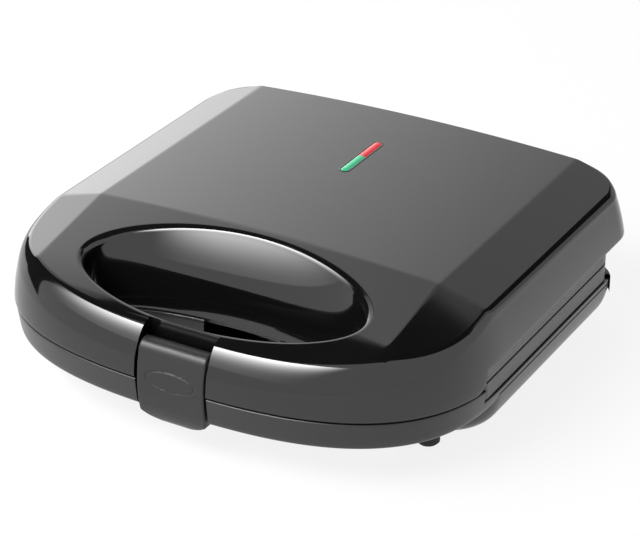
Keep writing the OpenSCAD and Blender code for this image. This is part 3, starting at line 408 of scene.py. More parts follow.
@dataclass(frozen=True)
class Finish:
    """A procedural finish.

    Attributes:
        name: the material's name.
        color: base colour, linear.
        roughness: mean roughness.
        metallic: 0 or 1.
        grain_mm: size of the fine grain.
        tone: how far the colour varies with the broad noise.
        spread: how far the roughness varies.
        bump_mm: depth of the grain.
        grain: the way the grain runs.
        coat: weight of a clear coat.
        transmission: how much light passes.
        ior: index of refraction.
        glow: strength of light of its own colour.
    """

    name: str
    color: tuple[float, float, float]
    roughness: float
    metallic: float = 0.0
    grain_mm: float = 0.4
    tone: float = 0.12
    spread: float = 0.06
    bump_mm: float = 0.01
    grain: Grain = Grain.EVEN
    coat: float = 0.0
    transmission: float = 0.0
    ior: float = 1.5
    glow: float = 0.0

    def material(self) -> bpy.types.Material:
        """Returns the material, built once; its name differs from those that come with the frame."""
        name = self.name + "_finish"
        found = bpy.data.materials.get(name)
        if found:
            return found
        mat = bpy.data.materials.new(name)
        mat.use_nodes = True
        tree = mat.node_tree
        wear = tree.nodes.new("ShaderNodeGroup")
        wear.node_tree = wear_group()
        place = add_node(tree, "TexCoord")
        feed(tree, wear, {"Vector": place.outputs["Object"], "Stretch": self.grain.value,
                          "Grain": 1 / (self.grain_mm * MM), "Color": (*self.color, 1), "Tone": self.tone,
                          "Roughness": self.roughness, "Spread": self.spread, "Depth": self.bump_mm * MM})
        shader = tree.nodes["Principled BSDF"]
        feed(tree, shader, {"Base Color": wear.outputs["Color"], "Roughness": wear.outputs["Roughness"],
                            "Normal": wear.outputs["Normal"], "Metallic": self.metallic, "IOR": self.ior,
                            "Coat Weight": self.coat, "Coat Roughness": 0.04,
                            "Transmission Weight": self.transmission})
        if self.glow:
            feed(tree, shader, {"Emission Color": (*self.color, 1), "Emission Strength": self.glow})
        return mat


def feed(tree: bpy.types.NodeTree, node: bpy.types.Node, inputs: dict) -> None:
    """Links or sets a node's inputs.

    Args:
        tree: where the node is.
        node: the node.
        inputs: outputs of other nodes, or values, by the name or number of the input.
    """
    for key, value in inputs.items():
        if isinstance(value, bpy.types.NodeSocket):
            tree.links.new(value, node.inputs[key])
        else:
            node.inputs[key].default_value = value


def add_node(tree: bpy.types.NodeTree, kind: str, inputs: dict | None = None,
             **settings: str) -> bpy.types.Node:
    """Adds a node.

    Args:
        tree: where it goes.
        kind: its type, without the words in front.
        inputs: what goes into it, as in feed.
        settings: its own settings.

    Returns:
        The node.
    """
    node = tree.nodes.new("ShaderNode" + kind)
    for key, value in settings.items():
        setattr(node, key, value)
    feed(tree, node, inputs or {})
    return node


def calc(tree: bpy.types.NodeTree, kind: str, a: object, b: object) -> bpy.types.NodeSocket:
    """The result of a math node on two outputs or numbers."""
    return add_node(tree, "Math", {0: a, 1: b}, operation=kind).outputs[0]


def wear_group() -> bpy.types.NodeTree:
    """A shared group that turns object coordinates into a varied colour and roughness and a grained normal.

    A fine noise, stretched along the grain, and a broad one are blended. The blend, less one half, shifts the
    colour and the roughness, and the fine noise alone is the height of the bump.

    Returns:
        The group, built once.
    """
    found = bpy.data.node_groups.get("Wear")
    if found:
        return found
    tree = bpy.data.node_groups.new("Wear", "ShaderNodeTree")
    sockets = {"INPUT": {"Vector": "Vector", "Stretch": "Vector", "Grain": "Float", "Color": "Color",
                         "Tone": "Float", "Roughness": "Float", "Spread": "Float", "Depth": "Float"},
               "OUTPUT": {"Color": "Color", "Roughness": "Float", "Normal": "Vector"}}
    for side, kinds in sockets.items():
        for name, kind in kinds.items():
            tree.interface.new_socket(name, in_out=side, socket_type="NodeSocket" + kind)
    given, out = tree.nodes.new("NodeGroupInput").outputs, tree.nodes.new("NodeGroupOutput")
    broad_scale, broad_detail, fine_detail, fine_share = 23.0, 4.0, 3.0, 0.45
    stretched = add_node(tree, "VectorMath", {0: given["Vector"], 1: given["Stretch"]}, operation="MULTIPLY")
    fine = add_node(tree, "TexNoise", {"Detail": fine_detail, "Vector": stretched.outputs[0],
                                       "Scale": given["Grain"]}).outputs["Fac"]
    broad = add_node(tree, "TexNoise", {"Detail": broad_detail, "Vector": given["Vector"],
                                        "Scale": broad_scale}).outputs["Fac"]
    both = calc(tree, "ADD", calc(tree, "MULTIPLY", fine, fine_share),
                calc(tree, "MULTIPLY", broad, 1 - fine_share))
    centred = calc(tree, "SUBTRACT", both, 0.5)
    tone, spread = (calc(tree, "MULTIPLY", centred, calc(tree, "MULTIPLY", given[name], 2.0))
                    for name in ("Tone", "Spread"))
    tint = add_node(tree, "VectorMath", {0: given["Color"], "Scale": calc(tree, "ADD", tone, 1.0)},
                    operation="SCALE")
    bump = add_node(tree, "Bump", {"Strength": 1.0, "Distance": given["Depth"], "Height": fine})
    feed(tree, out, {"Color": tint.outputs[0], "Roughness": calc(tree, "ADD", given["Roughness"], spread),
                     "Normal": bump.outputs["Normal"]})
    return tree


class Look:
    """The finishes of the whole appliance."""

    GLOSS_BLACK = Finish("gloss_black", (0.004, 0.004, 0.0043), 0.06, grain_mm=1.6, tone=0.2, spread=0.02,
                         bump_mm=0.0004, ior=1.63)
    CASING = Finish("casing_grey", (0.022, 0.022, 0.0225), 0.3, grain_mm=0.35, tone=0.14, bump_mm=0.006)
    FRAME = Finish("frame_grey", (0.092, 0.092, 0.094), 0.45, grain_mm=0.9, tone=0.5, spread=0.16,
                   bump_mm=0.012, grain=Grain.ALONG_Y)
    LATCH = Finish("latch_grey", (0.02, 0.02, 0.0205), 0.36, grain_mm=0.3, tone=0.16, bump_mm=0.010, ior=1.45)
    COATING = Finish("plate_coating", (0.028, 0.028, 0.029), 0.36, grain_mm=0.5, tone=0.3, spread=0.1,
                     bump_mm=0.012)
    SHEATH = Finish("heater_sheath", (0.34, 0.30, 0.26), 0.42, metallic=1, tone=0.5, spread=0.2)
    SHEET = Finish("reflector_sheet", (0.78, 0.78, 0.77), 0.25, metallic=1, grain_mm=0.8, spread=0.12,
                   grain=Grain.ALONG_X)
    SCREW = Finish("screw_steel", (0.60, 0.60, 0.61), 0.3, metallic=1, grain_mm=0.3, spread=0.1)
    PIN = Finish("pin_steel", (0.55, 0.55, 0.56), 0.18, metallic=1, grain_mm=0.3, grain=Grain.ALONG_X)
    CLIP = Finish("clip_steel", (0.16, 0.16, 0.17), 0.4, metallic=1)
    RUBBER = Finish("foot_rubber", (0.022, 0.022, 0.023), 0.7, grain_mm=0.5, tone=0.3, bump_mm=0.02)
    NATURAL = Finish("terminal_plastic", (0.72, 0.70, 0.64), 0.5)
    BRASS = Finish("terminal_brass", (0.75, 0.56, 0.27), 0.3, metallic=1, spread=0.12)
    GLAND = Finish("gland_black", (0.02, 0.02, 0.021), 0.5, bump_mm=0.01)
    SLEEVE = Finish("lead_sleeve", (0.62, 0.16, 0.08), 0.65, grain_mm=0.25, tone=0.4, bump_mm=0.03)
    CERAMIC = Finish("ceramic", (0.80, 0.77, 0.70), 0.6, tone=0.1)
    BEZEL = Finish("bezel_black", (0.012, 0.012, 0.0125), 0.2, spread=0.05)
    GREEN = Finish("green_lens", (0.02, 0.34, 0.16), 0.16, coat=0.3, tone=0.3, glow=0.5)
    RED = Finish("red_lens", (0.50, 0.012, 0.018), 0.16, coat=0.3, tone=0.3, glow=0.5)
    GREEN_GLASS = Finish("green_glass", (0.55, 0.9, 0.62), 0.05, transmission=0.8)
    RED_GLASS = Finish("red_glass", (0.95, 0.55, 0.4), 0.05, transmission=0.8)

    @classmethod
    def dress_nodes(cls) -> None:
        """Gives every CAD node the finish of its record slot."""
        finishes = {f.name: f for f in vars(cls).values() if isinstance(f, Finish)}
        finishes["lid_black"] = cls.GLOSS_BLACK
        slots = {s["node"]: s["material_slot"] for s in frame["record"]["subparts"]}
        for node, obj in frame["nodes"].items():
            for slot in obj.material_slots:
                slot.material = finishes[slots[node]].material()
        LOG.info("dressed %d CAD nodes", len(frame["nodes"]))


def dress(obj: bpy.types.Object, finish: Finish, slot: str, body: str, *replaced: str) -> bpy.types.Object:
    """Finishes a piece and hands it to its body.

    Args:
        obj: the piece.
        finish: its finish.
        slot: the record's material slot; not used.
        body: the CAD body that it rides on.
        replaced: the CAD nodes that it stands for.

    Returns:
        The piece.
    """
    obj.data.materials.clear()
    obj.data.materials.append(finish.material())
    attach(obj, body)
    if replaced:
        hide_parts(*replaced)
    LOG.info("%s: %d faces on %s", obj.name, len(obj.data.polygons), body)
    return obj


# ---------------------------------------------------------------- lid


@dataclass
class Lid:
    """The glossy lid: one skin from its inner lip over the top and down through the hand hole.

    Sizes that end in _in are measured inwards from the seam outline, and those in _h down from the top's edge.
    The shoulder's angles, in degrees, are steep where it leaves the wall, at the sides and in front, and flat
    where it meets the top. The rim's rounding ends at flare degrees at the back of the hand hole.
    """

    form: Form
    edge_in: float = 9.9
    lip_in: float = 11.4
    front_in: float = 3.2
    rear_in: float = 2.2
    wall_lean: float = 7.0
    lean_power: float = 1.63
    edge_h: float = 3.9
    lip_h: float = 13.3
    rear_h: float = 0.9
    corner: float = 8.0
    edge_z: float = 42.5
    notch_back: float = -99.7
    steep: tuple[float, float] = (82.0, 68.0)
    flat: float = 15.0
    flare: float = 40.0
    rim_back: float = 0.95
    rim_front: float = 0.17
    shelf_to: tuple[float, float] = (113.0, 91.4)
    rear_turn: tuple[float, float] = (0.3, 0.9)
    reach_up: float = 0.5
    reach_in: float = 0.45
    wall_rows: int = 15
    shoulder_rows: int = 18
    top_rows: int = 95
    rim_rows: int = 18
    hole_rows: int = 33

    def lean(self, z: np.ndarray) -> np.ndarray:
        """How far the wall leans in at a height: it grows with a power of the height above the seam."""
        f = self.form
        height = f.lid_h - f.crown - f.facet_drop
        return self.wall_lean * (np.maximum(0, z - f.seam_z) / height) ** self.lean_power

    def bottom(self, y: np.ndarray) -> np.ndarray:
        """Height of the lid's edge: low along the grip, then up round a corner to show the frames."""
        f = self.form
        low = f.seam_z + f.gap
        not_upright = 0.998
        t = np.clip((y - (f.recess_y - self.corner)) / self.corner, 0, 1)
        z = low + self.corner * (1 - np.sqrt(1 - t * t * not_upright))
        return np.where(y > f.recess_y, self.edge_z, z)

    def outside(self, cols: Columns, z_low: np.ndarray) -> list[np.ndarray]:
        """Rows from the inner lip round the edge, up the wall and over the shoulder.

        The shoulder is a cubic curve between the wall and the top, with two control points of its own.

        Args:
            cols: the columns.
            z_low: height of the edge at each column.

        Returns:
            The rows, the last one on the top's outer edge.
        """
        f, q = self.form, cols.facing
        lip = ((f.wall, 7), (f.wall, 3), (f.wall, 0.5), (f.wall - 0.4, 0), (0.8, 0), (0.35, 0.1), (0.1, 0.35))
        lip_top = 0.8
        rows = [row(*cols.inset(d + self.lean(z_low + dz)), z_low + dz) for d, dz in lip]
        rear = smoothstep(*self.rear_turn, cols.ny)
        d1 = mix(self.edge_in, self.lip_in, q * q) - self.front_in * q * (1 - q) - self.rear_in * rear
        z1 = f.top(*cols.inset(d1))
        z0 = z1 - mix(self.edge_h, self.lip_h, q**1.5) + self.rear_h * rear
        for t in np.linspace(0, 1, self.wall_rows):
            z = mix(z_low + lip_top, z0, t)
            rows.append(row(*cols.inset(self.lean(z)), z))
        d0, steep = self.lean(z0), np.radians(mix(*self.steep, q))
        h, w = (z1 - z0) * self.reach_up, (d1 - d0) * self.reach_in
        near_top = z1 - w * math.tan(math.radians(self.flat))
        for t in np.linspace(0, 1, self.shoulder_rows + 1)[1:]:
            b = ((1 - t) ** 3, 3 * (1 - t) ** 2 * t, 3 * (1 - t) * t * t, t**3)
            d = b[0] * d0 + b[1] * (d0 + h / np.tan(steep)) + b[2] * (d1 - w) + b[3] * d1
            z = b[0] * z0 + b[1] * (z0 + h) + b[2] * near_top + b[3] * z1
            rows.append(row(*cols.inset(d), z))
        return rows

    def inside(self, cols: Columns, edge: np.ndarray) -> list[np.ndarray]:
        """Rows over the top, round the hand hole's rim and down its wall.

        At the back, the rim's rounding ends at an angle, and the wall goes on from it along a parabola.

        Args:
            cols: the columns.
            edge: the row on the top's outer edge.

        Returns:
            The rows, the last one behind the wall's foot.
        """
        f, rows = self.form, []
        lip = self.rim_width(cols.hole)
        rx, ry = f.hole(cols.hole, 1.0, lip)
        for t in np.linspace(0, 1, self.top_rows + 1)[1:]:
            x, y = mix(edge[:, 0], rx, t), mix(edge[:, 1], ry, t)
            rows.append(row(x, y, f.top(x, y)))
        back = np.maximum(0, np.sin(cols.hole)) ** 1.5
        round_x = mix(lip, f.rim, back)
        for k in np.linspace(0, 1, self.rim_rows + 1)[1:]:
            g = np.radians(90 - k * (90 - self.flare * back))
            x, y = f.hole(cols.hole, 1.0, lip - round_x * np.cos(g))
            rows.append(row(x, y, f.top(x, y) - f.rim * (1 - np.sin(g))))
        wide = lip - round_x * np.cos(np.radians(self.flare * back))
        z_rim = rows[-1][:, 2]
        foot = f.seam_z + f.gap
        for t in np.linspace(1, 0, self.hole_rows + 1)[1:]:
            x, y = f.hole(cols.hole, t, wide * t * t - back * f.hole_lean * (t - t * t))
            rows.append(row(x, y, mix(foot + 0.5, z_rim, t)))
        for grow, dz in ((0.15, 0.15), (0.5, 0), (f.wall, 0), (f.wall, 4)):
            rows.append(row(*f.hole(cols.hole, 0.0, grow), foot + dz))
        return rows

    def skin(self, cols: Columns) -> np.ndarray:
        """The grid of the whole skin, from the inner lip upwards over the top to the hand hole's foot."""
        z_low = self.bottom(cols.y)
        rows = self.outside(cols, z_low)
        rows = np.array(rows + self.inside(cols, rows[-1]))
        clip_notch(rows, cols, self.form, self.notch_back, z_low, first=3)
        return rows

    def rim_width(self, angle: np.ndarray) -> np.ndarray:
        """How far the rim lies outside the wall's line: most at the back, where the wall itself flares."""
        s = np.sin(angle)
        more, less = self.rim_back * np.maximum(0, s) ** 1.5, self.rim_front * np.maximum(0, -s)
        return self.form.rim * (1 + more - less)

    def shelf(self, patch: Patchwork) -> None:
        """The flat ledge inside the edge that closes the lid round the frame."""
        f, pitch, beyond, overlap, sunk = self.form, 4.0, 400, 0.2, 0.15
        outer = Columns.sample(f, pitch, f.notch, [f.recess_y])
        outer = outer.take(np.flatnonzero(outer.y > f.recess_y))
        order = np.argsort(np.where(outer.x >= 0, outer.y, beyond - outer.y) - 1e-6 * outer.x)
        outer = outer.take(order)
        (far_x, far_y), z = self.shelf_to, self.edge_z + sunk
        inner = row(np.clip(outer.x, -far_x, far_x), np.minimum(outer.y, far_y), z)
        patch.grid(np.stack([inner, row(*outer.inset(f.wall - overlap), z)]), closed=False, flip=True)

    def build(self) -> None:
        """Builds the lid's skin."""
        cols = Columns.sample(self.form, 1.25, self.form.notch, [self.form.recess_y])
        patch = Patchwork()
        patch.grid(self.skin(cols))
        self.shelf(patch)
        dress(patch.make("lid_shell"), Look.GLOSS_BLACK, "lid_black", "lid", "lid_casing")


# ---------------------------------------------------------------- base


@dataclass
class Base:
    """The matte base: a grip section with the lower half of the hand hole, and a tub on foot bosses.

    The grip's wall lies wall_in inside the seam outline at the heights wall_z, and in front this shrinks to
    front_share of it. The foot holds x and both places along y of the bosses' axes.
    """

    form: Form
    grip_z: float = 20.0
    rim_z: float = 26.6
    ledge_z: float = 20.0
    bump_y: float = 76.0
    back_y: float = 108.2
    rear_r: float = 31.2
    foot: tuple[float, float, float] = (89.0, -48.0, 84.6)
    tub_y: float = -58.4
    tub_r: float = 28.0
    notch_back: float = -103.4
    foot_z: float = 6.0
    fall_run: float = 12.0
    wall_z: tuple[float, ...] = (20.0, 20.15, 20.5, 21.1, 22.0, 23.4, 33.2)
    wall_in: tuple[float, ...] = (5.6, 4.7, 3.9, 3.3, 2.9, 2.5, 0.7)
    front_share: float = 0.6
    hole_round: tuple[float, float] = (2.6, 2.9)
    tub_top: tuple[float, float] = (2.2, 23.6)
    tub_floor: float = 15.0
    tub_middle: tuple[float, float] = (0.0, 27.0)
    recess_back: float = 84.0
    frame_corner: tuple[float, float, float] = (97.6, 74.0, 17.0)

    def rim(self, y: np.ndarray) -> np.ndarray:
        """Height of the base's rim: high along the grip, low beside the frames, then down a quarter ellipse."""
        f = self.form
        fall = np.sqrt(np.maximum(0, 1 - (np.maximum(0, y - self.bump_y) / self.fall_run) ** 2))
        z = self.ledge_z + (self.rim_z - self.ledge_z) * fall
        return np.where(y < f.recess_y, f.seam_z - f.gap, z)

    def grip(self, cols: Columns) -> np.ndarray:
        """Grid of the grip section, from its inner lip out, down, under and up through the hand hole."""
        f = self.form
        z_rim = np.maximum(self.rim(cols.y), self.grip_z + 0.05)
        lean = mix(1.0, self.front_share, cols.facing)
        rows = []

        def wall(z: np.ndarray, extra: float = 0.0) -> None:
            """Adds a row on the outer wall, moved inwards by extra."""
            z = np.minimum(np.maximum(z, self.grip_z), z_rim)
            rows.append(row(*cols.inset(np.interp(z, self.wall_z, self.wall_in) * lean + extra), z))

        def hole(z: float, grow: float = 0.0) -> tuple[np.ndarray, np.ndarray]:
            """The hand hole's outline at a height; the base goes down along the lid's wall, twice as steep."""
            return f.hole(cols.hole, (z - f.seam_z) / f.lid_h / 2, grow)

        for extra, dz in ((f.wall, 6), (f.wall, 0.4), (f.wall - 0.4, 0), (0.7, 0), (0.3, 0.08), (0.08, 0.3)):
            wall(z_rim - dz, extra)
        for t in np.linspace(0, 1, 9):
            wall(mix(z_rim - 0.7, self.wall_z[-2], t))
        for z in (22.6, 22.0, 21.5, 21.1, 20.8, 20.5, 20.3, 20.15, 20.0):
            wall(np.full_like(cols.x, z))
        round_in, round_up = self.hole_round
        (ox, oy), (hx, hy) = cols.inset(self.wall_in[0] * lean), hole(self.grip_z, round_in)
        for t in np.linspace(0, 1, 26)[1:]:
            rows.append(row(mix(ox, hx, t), mix(oy, hy, t), self.grip_z))
        for g in angles(0, 90, 9)[1:]:
            z = self.grip_z + round_up * (1 - math.cos(g))
            rows.append(row(*hole(z, round_in * (1 - math.sin(g))), z))
        top = f.seam_z - f.gap
        for z in np.linspace(self.grip_z + round_up, top - 0.4, 8)[1:]:
            rows.append(row(*hole(z), z))
        for grow, dz in ((0.12, 0.12), (0.45, 0), (f.wall, 0), (f.wall, 4)):
            rows.append(row(*f.hole(cols.hole, 0.0, grow), top - dz))
        rows = np.array(rows)
        self.cut_notch(rows, cols, z_rim)
        return rows

    def cut_notch(self, rows: np.ndarray, cols: Columns, z_rim: np.ndarray, first: int = 2) -> None:
        """Lays what stands in front of the notch's back wall evenly on it, from the rim to the underside.

        Args:
            rows: the grid, changed in place.
            cols: its columns.
            z_rim: height of the rim at each column.
            first: row of the rim.
        """
        for k in np.flatnonzero((np.abs(cols.x) < self.form.notch) & (cols.y < 0)):
            column = rows[:, k]
            column[:, 0] = cols.x[k]
            n = int((column[first:, 1] < self.notch_back).sum())
            column[first:first + n, 1] = self.notch_back
            column[first:first + n, 2] = np.linspace(z_rim[k], self.grip_z, n)
            column[:first, 1] = self.notch_back + self.form.wall * np.linspace(1, 0.1, first)

    def tub_ring(self, d: float, steps: int = 26) -> tuple[np.ndarray, np.ndarray]:
        """The tub's outline moved inwards by d: straight sides and back, and quarter circles at the corners."""
        half, parts = self.form.half_w, []
        corners = ((1, self.tub_y, 1, self.tub_r), (1, self.back_y, -1, self.rear_r),
                   (-1, self.back_y, -1, self.rear_r), (-1, self.tub_y, 1, self.tub_r))
        for k, (sx, y, sy, r) in enumerate(corners):
            a = angles(90 * k - 90, 90 * k, steps)
            corner = np.stack([sx * (half - r) + (r - d) * np.cos(a), y + sy * r + (r - d) * np.sin(a)], 1)
            parts.append(corner[:-1])
            sx, y, sy, r = corners[(k + 1) % 4]
            a = math.radians(90 * k)
            after = (sx * (half - r) + (r - d) * math.cos(a), y + sy * r + (r - d) * math.sin(a))
            parts.append(np.linspace(corner[-1], after, 9, endpoint=False))
        x, y = np.concatenate(parts).T
        return x, y

    def tub(self, patch: Patchwork) -> None:
        """The tub's outside, listed from its floor up to its rim, with the profile of inset against height."""
        profile = catmull([(self.tub_floor, self.foot_z), (12.9, 6.45), (9.8, 7.6), (7.0, 9.8), (5.2, 12.2),
                           (4.1, 14.7), (3.3, 17.5), (2.7, 20.5), self.tub_top], 34)
        rows = []
        (x, y), (cx, cy) = self.tub_ring(self.tub_floor), self.tub_middle
        for t in (0.02, 0.3, 0.6, 0.85):
            rows.append(row(mix(cx, x, t), mix(cy, y, t), self.foot_z))
        for d, z in profile:
            x, y = self.tub_ring(d)
            rows.append(row(x, y, np.minimum(z, self.rim(y))))
        top_in, top_z = self.tub_top
        x, y = self.tub_ring(top_in + self.form.wall)
        for dz in (0.0, 3.0):
            rows.append(row(x, y, np.minimum(top_z, self.rim(y)) - dz))
        patch.grid(np.array(rows))

    def build(self) -> None:
        """Builds the base's casing."""
        f = self.form
        fall = [self.bump_y + self.fall_run * math.sin(math.radians(a)) for a in range(10, 88, 11)]
        outline = replace(f, rear_r=self.rear_r, back_y=self.back_y)
        cols = Columns.sample(outline, 1.5, f.notch, [f.recess_y, *fall])
        keep = np.flatnonzero(cols.y < self.bump_y + self.fall_run)
        start = int(np.flatnonzero(np.diff(keep) > 1)[0]) + 1
        cols = cols.take(np.concatenate([keep[start:], keep[:start]]))
        patch = Patchwork()
        patch.grid(self.grip(cols), closed=False)
        self.tub(patch)
        for x in (-self.foot[0], self.foot[0]):
            for y in self.foot[1:]:
                patch.lathe([(0.01, self.foot_z), (6.3, self.foot_z), (6.7, 6.4), (6.7, 19.0), (7.3, 19.7),
                             (8.1, 20.1)], (x, y))
        self.ledge(patch)
        shell = patch.make("base_shell")
        dress(shell, Look.CASING, "casing_grey", "base", "base_casing")

    def ledge(self, patch: Patchwork) -> None:
        """The ledge behind the frame, and the low wall that stands on it round the frame's back."""
        under, ledge_in, far_x, front = 0.06, 2.9, 112, self.recess_back
        ring = np.stack(self.tub_ring(ledge_in))
        x, y = ring[:, ring[1] > front]
        z = self.ledge_z - under
        near = row(np.clip(x, -far_x, far_x), np.minimum(y, front), z)
        patch.grid(np.stack([near, row(x, y, z)]), closed=False)
        mid_x, mid_y, radius = self.frame_corner
        a, even, rows = angles(0, 90, 24), np.linspace(0, 1, 30), []
        for grow, z in ((0.4, 18.0), (0.4, 26.7), (0.7, 27.0), (2.5, 27.0), (2.8, 26.7), (2.8, 18.0)):
            arc = np.stack([mid_x + (radius + grow) * np.cos(a), mid_y + (radius + grow) * np.sin(a)])
            arc = arc[:, arc[1] > front - 1]
            rows.append(row(*(np.interp(even, np.linspace(0, 1, arc.shape[1]), v) for v in arc), z))
        right = np.array(rows)
        left = right[:, ::-1] * np.array([-1.0, 1.0, 1.0])
        patch.grid(np.concatenate([right, left], 1), closed=False)


# ---------------------------------------------------------------- latch


@dataclass
class Latch:
    """The latch: a barrel, a bowed face with an oval groove, a curved lip and a hook."""

    half: float = 16.6
    pivot: tuple[float, float] = (-105.6, 45.9)
    barrel: float = 5.2
    edge_r: float = 0.8
    lip_z: float = 12.65
    lip_r: float = 28.0
    oval: tuple[float, float] = (12.0, 4.3)
    oval_z: float = 36.0
    groove: float = 0.5
    groove_half: float = 0.42
    face_y: float = -110.5
    lip_bulge: float = 0.7

    def profile(self) -> tuple[np.ndarray, np.ndarray]:
        """The closed side profile, resampled evenly and eased at its corners, and its outward directions."""
        a = np.radians(np.arange(-62, 163, 8))
        arc = np.stack([self.pivot[0] + self.barrel * np.cos(a), self.pivot[1] + self.barrel * np.sin(a)], 1)
        face = [(-111.35, 44.2), (-112.1, 41.0), (-112.5, 37.0), (-112.75, 32.5), (-112.7, 28.2),
                (-112.4, 24.6), (-112.1, 21.4), (-111.4, 18.4), (-110.3, 15.6), (-108.6, 13.4), (-106.0, 12.65),
                (-101.5, 13.6), (-99.3, 14.8), (-98.4, 16.2), (-98.6, 19.4), (-102.0, 19.4), (-105.4, 19.4),
                (-106.4, 23.5), (-106.9, 28.5), (-106.9, 34.0), (-106.6, 38.0), (-105.4, 40.4)]
        line = np.vstack([arc, face])
        closed = np.vstack([line, line[:1]])
        s = np.concatenate([[0], np.cumsum(np.linalg.norm(np.diff(closed, axis=0), axis=1))])
        pitch, easings = 0.42, 3
        where = np.linspace(0, s[-1], int(s[-1] / pitch), endpoint=False)
        p = np.stack([np.interp(where, s, closed[:, k]) for k in (0, 1)], 1)
        for _ in range(easings):
            p = 0.5 * p + 0.25 * (np.roll(p, 1, 0) + np.roll(p, -1, 0))
        d = np.roll(p, -1, 0) - np.roll(p, 1, 0)
        d /= np.linalg.norm(d, axis=1)[:, None]
        return p, np.stack([d[:, 1], -d[:, 0]], 1)

    def build(self) -> None:
        """Builds the latch."""
        p, n = self.profile()
        turn = angles(0, 90, 6)
        ends = self.half - self.edge_r * (1 - np.sin(turn))
        insets = self.edge_r * (1 - np.cos(turn))
        inner = np.linspace(-self.half + self.edge_r, self.half - self.edge_r, 78)
        x = np.concatenate([-ends[::-1], inner[1:-1], ends])
        d = np.concatenate([insets[::-1], np.zeros(len(inner) - 2), insets])
        ring = p[None] - n[None] * d[:, None, None]
        low = self.lip_z + self.lip_r - np.sqrt(self.lip_r**2 - x**2) + self.lip_bulge * d
        y, z = ring[..., 0].copy(), np.maximum(ring[..., 1], low[:, None])
        rx, rz = x[:, None] / self.oval[0], (z - self.oval_z) / self.oval[1]
        rho = np.hypot(rx, rz)
        slope = np.hypot(rx / self.oval[0], rz / self.oval[1]) / np.maximum(rho, 1e-6)
        away = (rho - 1) / np.maximum(slope, 1e-6)
        y += np.where(y < self.face_y, self.groove * np.exp(-((away / self.groove_half) ** 2)), 0)
        points = np.stack([np.broadcast_to(x[:, None], y.shape), y, z], -1)
        patch = Patchwork()
        patch.grid(points, flip=True)
        patch.polygon(points[0], flip=True)
        patch.polygon(points[-1])
        dress(patch.make("latch_body", math.radians(40)), Look.LATCH, "latch_grey", "latch", "latch")


# ---------------------------------------------------------------- cooking plates


@dataclass
class CookingPlate:
    """A cast plate with two pockets, each split by a diagonal ridge, given as a height map with a cast back."""

    half_x: float = 108.0
    half_y: float = 63.0
    centre_y: float = 22.3
    corner: float = 5.0
    rim_t: float = 3.0
    depth: float = 11.0
    pocket: tuple[float, float, float] = (49.0, 44.0, 48.0)
    ridge: float = 3.0
    slope: float = 8.5
    blend: float = 1.6
    back: tuple[float, float] = (0.93, 0.85)
    floor: tuple[float, float] = (0.8649, 0.748)
    middle: float = 0.05
    wall_power: float = 0.75
    grid: tuple[int, int] = (217, 127)

    def height(self, x: np.ndarray, y: np.ndarray) -> np.ndarray:
        """Depth below the cooking face: it eases in with the distance to the nearest wall of a triangle."""
        cx, hx, hy = self.pocket
        px = np.where(x > 0, -(x - cx), x + cx)
        norm = math.hypot(hx, hy)
        across = np.abs(px * hy + y * hx) / norm
        walls = np.stack([hx - np.abs(px), hy - np.abs(y), across - self.ridge])
        soft = -self.blend * np.log(np.exp(-walls / self.blend).sum(0))
        t = np.clip(soft / self.slope, 0, 1)
        return -self.depth * (t * t * (3 - 2 * t)) ** self.wall_power

    def build(self, name: str, body: str, face_z: float, up: float) -> None:
        """Builds one plate.

        Args:
            name: the CAD node that it stands for.
            body: the body that it rides on.
            face_z: height of its cooking face.
            up: 1 if the face looks up, -1 if it looks down.
        """
        halves = (self.half_x, self.half_y)
        gx, gy = np.meshgrid(*(np.linspace(-half, half, n) for half, n in zip(halves, self.grid)))
        h = self.height(gx, gy)
        vx, vy = np.abs(gx) - (self.half_x - self.corner), np.abs(gy) - (self.half_y - self.corner)
        inside = (vx > 0) & (vy > 0)
        scale = np.where(inside, np.maximum(vx, vy) / np.maximum(np.hypot(vx, vy), 1e-9), 1)
        gx, gy = (np.where(inside, np.sign(g) * (half - self.corner + v * scale), g)
                  for g, half, v in ((gx, self.half_x, vx), (gy, self.half_y, vy)))
        face = np.stack([gx, gy + self.centre_y, face_z + up * h], -1)
        patch = Patchwork()
        patch.grid(face, closed=False, flip=up < 0)
        edge = border(face)

        def ring(depth: float, d: float = 0.0, size: tuple[float, float] = (1.0, 1.0)) -> np.ndarray:
            """The plate's edge at a depth, moved inwards by d and scaled about the middle."""
            ex, ey = edge[:, 0], edge[:, 1] - self.centre_y
            ex, ey = (v - np.sign(v) * d for v in (ex, ey))
            return row(ex * size[0], self.centre_y + ey * size[1], face_z - up * depth)

        deepest = self.depth + self.rim_t
        tip = (self.floor[0] * self.middle, self.floor[1] * self.middle)
        rows = [ring(deepest, size=tip), ring(deepest, size=self.floor), ring(self.rim_t, size=self.back)]
        rows += [ring(depth, d) for depth, d in ((self.rim_t, 0.0), (0.35, 0.0), (0.1, 0.02), (0.0, 0.25))]
        patch.grid(np.stack(rows), flip=up < 0)
        dress(patch.make(name + "_cast", math.radians(50)), Look.COATING, "plate_coating", body, name)


# ---------------------------------------------------------------- indicator


